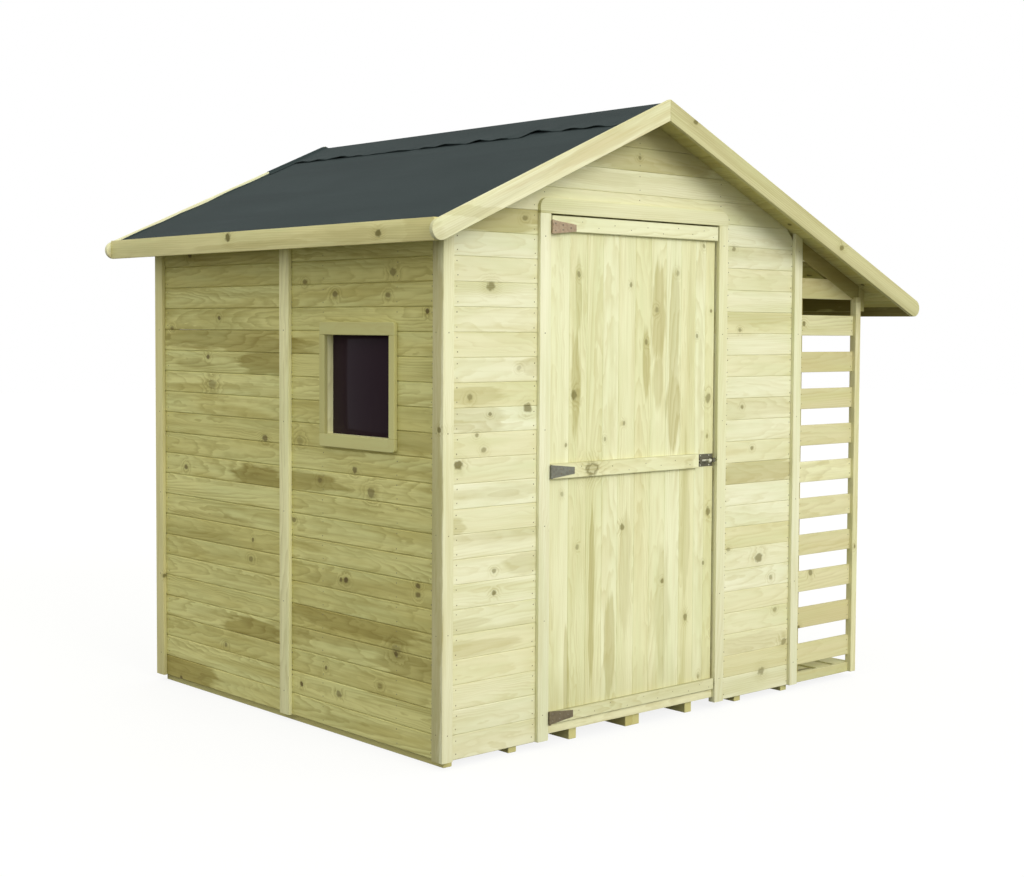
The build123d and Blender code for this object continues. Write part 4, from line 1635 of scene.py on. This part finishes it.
@dataclass
class Felt(Part):
    """Felt over both slopes, and the ragged-edged strip along the ridge."""

    board_up: float = 19.77
    felt_up: float = 23.06
    strip_run: float = 181.0
    strip_joint: float = 440.0
    strip_t: float = 2.0
    barge_up: float = 35.0
    barge_t: float = 18.0
    fold_run: float = 316.0
    strip_least: float = 8.0
    strip_askew: float = 36.0
    strip_margin: float = 6.0
    slack_wave: float = 260.0
    turned_up: float = 5.0
    turned_more: float = 4.0
    turned_wave: float = 90.0
    ragged: tuple[tuple[float, float, float], ...] = ((7.0, 70.0, 21.0), (4.0, 16.0, 2.0))

    def waver(self, x: float, y: float, scale: float, seed: float) -> float:
        """Smooth random value of -1 to 1 over the roof."""
        return noise.noise(Vector((x / scale, y / scale, seed)))

    def sheet(self, columns: Sequence[float], rows: Sequence[float],
              top: Callable[[float, float], float], bottom: Callable[[float, float], float],
              edge: Callable[[float, float], float]) -> bpy.types.Mesh:
        """Closed thin sheet over the roof.

        Args:
            columns: Level places across the roof, in millimetres.
            rows: Places along it.
            top: Height of its top above the roof boards' underside, at a place.
            bottom: The same of its underside.
            edge: How far a place shifts along X.

        Returns:
            The mesh.
        """
        bm = bmesh.new()
        layers = []
        for rise in (bottom, top):
            layers.append([[bm.verts.new(at(x + edge(x, y), y, under(x + edge(x, y)) + rise(x, y)))
                            for y in rows] for x in columns])
        low, high = layers
        n, m = len(columns) - 1, len(rows) - 1
        for i in range(n):
            for k in range(m):
                bm.faces.new((high[i][k], high[i + 1][k], high[i + 1][k + 1], high[i][k + 1]))
                bm.faces.new((low[i][k + 1], low[i + 1][k + 1], low[i + 1][k], low[i][k]))
            bm.faces.new((low[i][0], low[i + 1][0], high[i + 1][0], high[i][0]))
            bm.faces.new((high[i][m], high[i + 1][m], low[i + 1][m], low[i][m]))
        for k in range(m):
            bm.faces.new((high[0][k], high[0][k + 1], low[0][k + 1], low[0][k]))
            bm.faces.new((low[n][k], low[n][k + 1], high[n][k + 1], high[n][k]))
        bmesh.ops.recalc_face_normals(bm, faces=bm.faces[:])
        return poured(bm, "sheet")

    def spread(self, start: float, end: float, count: int) -> list[float]:
        """Even places from start to end."""
        return [start + (end - start) * i / count for i in range(count + 1)]

    def main_felt(self) -> bpy.types.Mesh:
        """Felt over both slopes, barely uneven and turned up a little at the barge boards.

        Returns:
            The mesh.
        """
        columns = self.spread(ROOF_LEFT, RIDGE_X, 24) + self.spread(RIDGE_X, ROOF_RIGHT, 34)[1:]
        rows = [ROOF_FRONT, ROOF_FRONT + 9] + self.spread(ROOF_FRONT + 30, ROOF_BACK - 30, 52)
        rows += [ROOF_BACK - 9, ROOF_BACK]

        def top(x: float, y: float) -> float:
            """Thickness of the felt with its unevenness."""
            lift = self.waver(x, y, self.slack_wave, 3.0) - 1.0
            if y in (ROOF_FRONT, ROOF_BACK):
                lift += self.turned_up + self.turned_more * self.waver(x, y, self.turned_wave, 8.0)
            return self.felt_up + lift

        return self.sheet(columns, rows, top, lambda x, y: self.board_up, lambda x, y: 0.0)

    def ridge_strip(self) -> bpy.types.Mesh:
        """Strip over the ridge with ragged edges that stand up here and there.

        Returns:
            The mesh.
        """
        run = self.strip_run
        half = (0, run * 0.4, run * 0.8, run - self.strip_margin, run)
        columns = [RIDGE_X - v for v in half[:0:-1]] + [RIDGE_X + v for v in half]
        rows = self.spread(ROOF_FRONT, ROOF_BACK, 260)

        def at_edge(x: float) -> bool:
            """Whether a column is one of the two outer ones on its side."""
            return abs(x - RIDGE_X) > run - 10

        def spare(y: float) -> float:
            """How much wider than its run the strip is; its two lengths lie a little askew."""
            joint = self.strip_joint
            start, end = (ROOF_BACK, joint) if y > joint else (joint, ROOF_FRONT)
            return self.strip_least + self.strip_askew * (start - y) / (start - end)

        def top(x: float, y: float) -> float:
            """Top of the strip."""
            lift = max(0.0, 12.0 * self.waver(x, y, 110.0, 5.0) + 3.5) if at_edge(x) else 0.4
            return self.felt_up + self.strip_t + lift

        def edge(x: float, y: float) -> float:
            """Ragged shift of the outer columns."""
            wide = spare(y) * (RIDGE_X - x) / run if x < RIDGE_X else 0.0
            if not at_edge(x):
                return -wide
            return sum(far * self.waver(x, y, wave, seed) for far, wave, seed in self.ragged) - wide

        return self.sheet(columns, rows, top, lambda x, y: top(x, y) - self.strip_t - 0.2, edge)

    def fold(self) -> bpy.types.Mesh:
        """Felt folded over the back left barge board beside the ridge.

        Returns:
            The mesh.
        """
        columns = self.spread(RIDGE_X - self.fold_run, RIDGE_X, 24) + [RIDGE_X + 12, RIDGE_X + 40]
        end = ROOF_BACK + self.barge_t
        rows = [ROOF_BACK - 24, ROOF_BACK - 4, ROOF_BACK + 1, end - 1, end]
        heights = dict(zip(rows, (self.felt_up + 2.4, self.felt_up + 4.0, self.barge_up + 1.2,
                                  self.barge_up + 1.2, self.barge_up - 3.0)))

        def top(x: float, y: float) -> float:
            """Top of the fold, kept under the ridge's own height."""
            return min(heights[y], RIDGE_H + self.barge_up - 0.3 - under(x))

        def edge(x: float, y: float) -> float:
            """Ragged lower end of the fold."""
            return 8.0 * self.waver(y, x, 20.0, 4.0) if x == columns[0] else 0.0

        return self.sheet(columns, rows, top, lambda x, y: top(x, y) - 1.6, edge)

    def build(self) -> None:
        """Lays the felt, the strip and the fold."""
        for name, mesh, node in (("felt_slopes", self.main_felt(), "roof_felt"),
                                 ("ridge_strip", self.ridge_strip(), "ridge_felt_strip"),
                                 ("felt_fold", self.fold(), "roof_felt")):
            self.stand(name, mesh, "felt", Slot.FELT, node)


@dataclass
class Window(Part):
    """Fixed window of the left wall: a face frame, its liner and the pane."""

    near: float = 279.0
    far: float = 747.0
    foot: float = 1089.0
    head: float = 1555.0
    stile: float = 34.0
    rail: float = 48.0
    corner: float = 14.0
    liner: float = 10.0

    def build(self) -> None:
        """Makes the frame of boards that each have their own grain, and dresses the pane."""
        stack = Timbers(171)
        low, high, r = self.foot + self.rail, self.head - self.rail, self.corner
        for z0, z1, radii in ((self.foot, low, (r, r, 0, 0)), (high, self.head, (0, 0, r, r))):
            stack.outline(rounded(self.near, z0, self.far, z1, radii), 0, TRIM_T,
                          Axis.X, Axis.Y, 2.0)
        y0, y1 = self.near + self.stile, self.far - self.stile
        for start, end in ((self.near, y0), (y1, self.far)):
            stack.add((0, start, low), (TRIM_T, end, high), Axis.Z, 2.0)
        self.stand("window_surround", stack, "window_wood", Slot.FRAME, "window_frame")
        t = self.liner
        stack = Timbers(173)
        for y in (y0 - t, y1):
            stack.add((TRIM_T, y, low - t), (FRAME_IN, y + t, high + t), Axis.Z, 0.8)
        for z in (low - t, high):
            stack.add((TRIM_T, y0, z), (FRAME_IN, y1, z + t), Axis.Y, 0.8)
        # The liner's paler finish is painted light, where it lies in the left wall's shade.
        self.stand("window_liner", stack, "trim_painted_light", Slot.FRAME, "window_frame")
        self.dress("window_pane", "pane", Slot.PANE, width=0.0004)


@dataclass
class Door(Part):
    """Boarded door with three ledges on its face."""

    seams: tuple[float, ...] = (502, 606, 696, 778, 862, 952, 1037, 1122, 1206, 1290, 1349, 1400)
    front: float = 18.0
    back: float = 36.0
    foot: float = 82.0
    head: float = 1946.0
    joint: float = 1.3
    gap: float = 0.2
    ledges: tuple[tuple[float, float, float], ...] = (
        (1400, 1890, 1946), (1300, 986, 1042), (1400, 82, 126))

    def build(self) -> None:
        """Makes the boards and the ledges, each of these from the first seam to its end."""
        boards = Timbers(131)
        for x0, x1 in zip(self.seams, self.seams[1:]):
            boards.add((x0 + self.gap / 2, self.front, self.foot),
                       (x1 - self.gap / 2, self.back, self.head), Axis.Z, self.joint)
        ledges = Timbers(137)
        for end, z0, z1 in self.ledges:
            ledges.add((self.seams[0], 0, z0), (end, self.front, z1), Axis.X, 2.2)
        for name, stack in (("door_boards", boards), ("door_ledges", ledges)):
            self.stand(name, stack, "door", Slot.DOOR, "door_leaf", body="door")


@dataclass
class Ironwork(Part):
    """Three strap hinges and the sliding bolt."""

    def build(self) -> None:
        """Dresses the hinges, the latch plate and the bolt."""
        for level in ("top", "middle", "bottom"):
            finish = level + "_hinge"
            self.dress(f"hinge_leaf_{level}", finish, Slot.IRON, width=0.0003)
            self.dress(f"hinge_strap_{level}", finish, Slot.IRON, width=0.0004, body="door")
        self.dress("latch_plate", "latch", Slot.IRON, width=0.0004, body="door")
        self.dress("latch_bolt", "knob", Slot.IRON, width=0.0002, body="bolt")


@dataclass
class Store(Part):
    """Wood store at the right: posts, beam, slatted ends and floor."""

    slat: float = 87.0
    count: int = 12
    pitch: float = 157.0
    first: float = 102.0
    rail: float = 75.0
    floor_top: float = 66.0
    board: float = 104.0
    board_gap: float = 23.0
    boards: int = 3
    post_w: float = 34.0
    rail_span: tuple[float, float] = (1700, 1800)

    def slats(self, end: str, y: float, mirror: int, batten: tuple[float, float],
              seed: int) -> None:
        """Slats, top rail and battens of one end.

        Args:
            end: "front" or "back".
            y: Outer face of the slats.
            mirror: 1 where the row's X runs right, else -1.
            batten: Near and far face of the battens.
            seed: Seed of the random draws.
        """
        a, b = sorted((mirror * (BODY_W - RIDGE_X), mirror * (STORE_END - self.post_w - RIDGE_X)))
        row = BoardRow(a, b, self.first, self.count, seed, pitch=self.pitch, width=self.slat,
                       joint=1.5, gap=0.0, peak=RIDGE_H - self.rail, slope=SLOPE,
                       inner=BODY_W - RIDGE_X)
        self.lay(f"store_{end}_slat_row", "slat", facing(1 - mirror, RIDGE_X, y), [row],
                 f"store_{end}_slats")
        stack = Timbers(seed + 1)
        y0, y1 = sorted((y, y + mirror * TRIM_T))
        foot, head = self.rail_span

        def slope_cut(p: Vector) -> Vector:
            """Brings a rail's corner to the slope."""
            top = under(p.x * 1000 + CORNER_X)
            p.z = (top if p.z > (foot + head) / 2000 else top - self.rail) / 1000
            return p

        stack.add((BODY_W, y0, foot), (STORE_END, y1, head), Axis.X, cut=slope_cut)
        stack.add((BODY_W, batten[0], SKIRT),
                  (BODY_W + STUD, batten[1], under(BODY_W) - self.rail), Axis.Z)
        self.stand(f"store_{end}_rail", stack, "store_rail_painted_shade", Slot.TRIM, f"store_{end}_slats")

    def post(self, end: str, outer: float, inner: float) -> None:
        """Squared corner post that the slats butt against.

        Args:
            end: "front" or "back".
            outer: Its face towards that end.
            inner: Its face within.
        """
        node = f"store_{end}_post"
        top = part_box(node)[1].z * 1000
        stack = Timbers(181)
        y0, y1 = sorted((outer, inner))
        stack.add((STORE_END - self.post_w, y0, SKIRT), (STORE_END, y1, top), Axis.Z, 1.6)
        self.stand(f"{node}_timber", stack, "slat", Slot.TRIM, node)

    def floor(self) -> None:
        """Bearers and, flush between the outer two, the spaced floor boards."""
        stack = Timbers(151)
        top, under_board = self.floor_top, self.floor_top - TRIM_T
        for y in (FRAME_IN, BODY_D - FRAME_IN - STUD, BODY_D / 2 - STUD / 2):
            stack.add((BODY_W, y, SKIRT), (STORE_END, y + STUD, under_board), Axis.X)
        for y0, y1 in ((TRIM_T, INNER), (BODY_D - INNER, BODY_D - TRIM_T)):
            stack.add((BODY_W, y0, SKIRT), (STORE_END - self.post_w, y1, top), Axis.X)
        for i in range(self.boards):
            x = BODY_W + STUD + i * (self.board + self.board_gap)
            stack.add((x, INNER + 1, under_board), (x + self.board, BODY_D - INNER - 1, top),
                      Axis.Y, 2.0)
        self.stand("store_floor_boards", stack, "store_floor", Slot.FRAME, "store_floor")

    def build(self) -> None:
        """Makes the slatted ends, posts, beam and floor."""
        self.slats("front", TRIM_T, 1, (INNER, FRAME_IN), 113)
        self.slats("back", BODY_D - TRIM_T, -1, (BODY_D - FRAME_IN, BODY_D - INNER), 127)
        for end, outer, inner in (("front", 0.0, INNER), ("back", BODY_D, BODY_D - INNER)):
            self.post(end, outer, inner)
        self.dress("store_eave_beam", "eave_beam", Slot.FRAME, Axis.Y)
        self.floor()


@dataclass
class Floor(Part):
    """Deck boards on two panels of joists."""

    joist: float = 38.0
    joist_h: float = 45.0
    joists: int = 4

    def build(self) -> None:
        """Lays joists and deck."""
        stack = Timbers(163)
        pitch = (RIDGE_X - INNER - self.joist) / (self.joists - 1)
        for start in (INNER, RIDGE_X):
            for i in range(self.joists):
                x = start + i * pitch
                stack.add((x, INNER, 0), (x + self.joist, BODY_D - INNER, self.joist_h), Axis.Y)
        self.stand("floor_joists", stack, "rough_sawn", Slot.FRAME, "floor")
        depth = BODY_D - 2 * INNER
        row = BoardRow(INNER - RIDGE_X, BODY_W - INNER - RIDGE_X, 0, math.ceil(depth / COVER), 167,
                       peak=depth)
        # The row's X runs right, its Z back and its face up
        turn = Matrix(((1, 0, 0), (0, 0, -1), (0, 1, 0))).transposed().to_4x4()
        place = Matrix.Translation(at(RIDGE_X, INNER, DECK_TOP)) @ turn
        self.lay("deck_boards", "wall", place, [row], "floor")


def fixing_tree() -> bpy.types.NodeTree:
    """Geometry Nodes that set a low domed head on every point, turned to its `facing`.

    Returns:
        The tree.
    """
    g = Graph.group(
        "fixing_heads", "GeometryNodeTree",
        [("Geometry", "Geometry"), ("Radius", "Float", 0.0025), ("Height", "Float", 0.0008),
         ("Seed", "Int"), ("Finish", "Material")], [("Geometry", "Geometry")])
    inp = g.start.outputs
    crown = g.product(inp["Radius"], 0.62)
    head = g.add("GeometryNodeMeshCone", {"Vertices": 10, "Radius Top": crown,
                                          "Radius Bottom": inp["Radius"], "Depth": inp["Height"]})
    facing = g.add("GeometryNodeInputNamedAttribute", {"Name": "facing"}, data_type="FLOAT_VECTOR")
    turn = g.add("FunctionNodeAlignRotationToVector", {"Vector": facing.outputs[0]}, axis="Z")
    size = g.add("FunctionNodeRandomValue", data_type="FLOAT")
    for socket, value in (("Min", 0.88), ("Max", 1.12), ("Seed", inp["Seed"])):
        g.put([i for i in size.inputs if i.name == socket and i.enabled][0], value)
    heads = g.add("GeometryNodeInstanceOnPoints", {
        "Points": inp["Geometry"], "Instance": head.outputs[0], "Rotation": turn.outputs[0],
        "Scale": [o for o in size.outputs if o.enabled][0]})
    laid = g.add("GeometryNodeRealizeInstances", {0: heads.outputs[0]})
    done = g.add("GeometryNodeSetMaterial", {"Geometry": laid.outputs[0],
                                             "Material": inp["Finish"]})
    g.put(g.end.inputs[0], done.outputs[0])
    return g.tree


# Ways that a nail head can face
AHEAD, BEHIND = (0, -1, 0), (0, 1, 0)
LEFTWARD, RIGHTWARD = (-1, 0, 0), (1, 0, 0)


@dataclass
class Fixings(Part):
    """Nail heads in boards and trims, and the screws of the ironwork."""

    spots: dict[str, list[tuple[Vector, Point]]] = field(default_factory=dict)
    rng: random.Random = field(default_factory=lambda: random.Random(211))
    edge: float = 19.0
    under_roof: float = 30.0
    front_columns: tuple[tuple[float, float, float], ...] = (
        (74, 0, 2000), (431, 0, 2000), (1480, 0, 1990), (1880, 0, 1990),
        (474, 2030, 9999), (967, 2030, 9999), (1430, 2030, 9999))
    back_columns: tuple[float, ...] = (70, 900, 1034, 1864)
    side_columns: tuple[float, ...] = (82, 955, 1030, 1908)
    window_columns: tuple[float, ...] = (282, 745)
    window_span: tuple[float, float] = (1070, 1570)
    slat_columns: tuple[float, ...] = (1957, 2300)
    slat_heights: tuple[float, ...] = (22, 65)
    slat_under_roof: float = 90.0
    trim_heights: range = range(120, 1900, 350)
    jamb_columns: tuple[float, float] = (471, 1434)
    trim_inset: float = 24.0
    side_inset: float = 38.0
    ledge_zigzag: float = 9.0
    ledge_ends: tuple[float, float] = (640, 1290)
    ledge_heights: tuple[float, ...] = (1918, 104)
    middle_ledge: float = 1014.0
    hinge_heights: tuple[float, ...] = (1904, 1014, 107)
    hinge_screws: tuple[tuple[float, float], ...] = (
        (516, 13), (516, -13), (552, 9), (552, -9), (592, 0))
    latch_columns: tuple[float, ...] = (1325, 1375)
    latch_rise: float = 19.0

    def nail(self, group: str, x: float, y: float, z: float, facing: Point,
             wander: float = 3.0) -> None:
        """Notes one head, a little off its place along the wall."""
        slip = Vector([self.rng.uniform(-wander, wander) if not f else 0 for f in facing])
        self.spots.setdefault(group, []).append((at(x + slip.x, y + slip.y, z + slip.z), facing))

    def rows(self) -> Iterable[float]:
        """Heights of the two nails in each wall board.

        Yields:
            The heights, from the lowest board up.
        """
        for row in range(Cladding.rows + Cladding.top_rows):
            low, high = row_height(row)
            yield low + self.edge
            yield high - self.edge

    def walls(self) -> None:
        """Nails into the studs of all four walls."""
        for z in self.rows():
            for x, low, high in self.front_columns:
                if low <= z < high and z < under(x) - self.under_roof:
                    self.nail("wall", x, TRIM_T, z, AHEAD)
            for x in self.back_columns:
                if z < under(x) - self.under_roof:
                    self.nail("wall", x, BODY_D - TRIM_T, z, BEHIND)
            if z > EAVE_H - 10:
                continue
            for y in self.side_columns:
                self.nail("wall", TRIM_T, y, z, LEFTWARD)
                self.nail("wall", BODY_W - TRIM_T, y, z, RIGHTWARD)
            if not self.window_span[0] < z < self.window_span[1]:
                for y in self.window_columns:
                    self.nail("wall", TRIM_T, y, z, LEFTWARD)

    def trims(self) -> None:
        """Nails up the corner trims, battens and door jamb trims."""
        near, far = self.side_inset, BODY_D - self.side_inset
        for z in self.trim_heights:
            for x in (self.trim_inset, *self.jamb_columns, BODY_W - self.trim_inset):
                self.nail("trim", x, 0, z, AHEAD)
            for x in (self.trim_inset, RIDGE_X, BODY_W - self.trim_inset):
                self.nail("trim", x, BODY_D, z, BEHIND)
            for y in (near, PANEL_JOINT, far):
                self.nail("trim", 0, y, z, LEFTWARD)
            for y in (near, far):
                self.nail("trim", BODY_W, y, z, RIGHTWARD)

    def slats(self) -> None:
        """Two nails in each end of the slats below the top two, where the roof leaves room."""
        for row in range(Store.count - 2):
            for up in self.slat_heights:
                z = Store.first + Store.pitch * row + up
                for x in self.slat_columns:
                    if z < under(x) - self.slat_under_roof:
                        self.nail("wall", x, TRIM_T, z, AHEAD)
                        self.nail("wall", x, BODY_D - TRIM_T, z, BEHIND)

    def door(self) -> None:
        """Nails through the ledges, and the screws of hinges and latch."""
        seams, (start, end) = Door.seams, self.ledge_ends
        for i, (x0, x1) in enumerate(zip(seams, seams[1:])):
            x, up = (x0 + x1) / 2, self.ledge_zigzag * (1 if i % 2 else -1)
            if x > start:
                for z in self.ledge_heights:
                    self.nail("ledge", x, 0, z + up, AHEAD, 5.0)
            if start < x < end:
                self.nail("ledge", x, 0, self.middle_ledge + up, AHEAD, 5.0)
        for z in self.hinge_heights:
            for x, up in self.hinge_screws:
                self.nail("hinge", x, -2.5, z + up, AHEAD, 0.3)
        for x in self.latch_columns:
            for up in (-self.latch_rise, self.latch_rise):
                self.nail("latch", x, TRIM_T, self.middle_ledge + up, AHEAD, 0.3)

    def build(self) -> None:
        """Sets every head, one mesh for each kind."""
        for note in (self.walls, self.trims, self.slats, self.door):
            note()
        tree = fixing_tree()
        kinds = {"wall": ("nail", 2.3, 0.7, "shed"), "trim": ("nail", 2.3, 0.7, "shed"),
                 "ledge": ("nail", 2.0, 0.6, "door"), "hinge": ("screw", 3.2, 1.3, "door"),
                 "latch": ("knob", 2.8, 1.0, "door")}
        for seed, (group, (finish, radius, height, body)) in enumerate(kinds.items()):
            spots = self.spots[group]
            points = bpy.data.meshes.new(group)
            points.from_pydata([p for p, _ in spots], [], [])
            facing = points.attributes.new("facing", "FLOAT_VECTOR", "POINT")
            facing.data.foreach_set("vector", [v for _, f in spots for v in f])
            mesh = grown(points, tree, {"Radius": radius / 1000, "Height": height / 1000,
                                        "Seed": seed, "Finish": self.palette.get(finish)})
            self.stand(f"{group}_fixings", mesh, finish, Slot.IRON, body=body)


def main() -> None:
    """Builds the shed in order."""
    logging.basicConfig(level=logging.INFO, format="%(message)s")
    Studio().build()
    palette = Palette()
    for part in (Cladding, Framing, Trims, Roof, Felt, Window, Door, Ironwork, Store, Floor,
                 Fixings):
        part(palette).build()
        log.info("%s done", part.__name__)


if __name__ == "__main__":
    main()
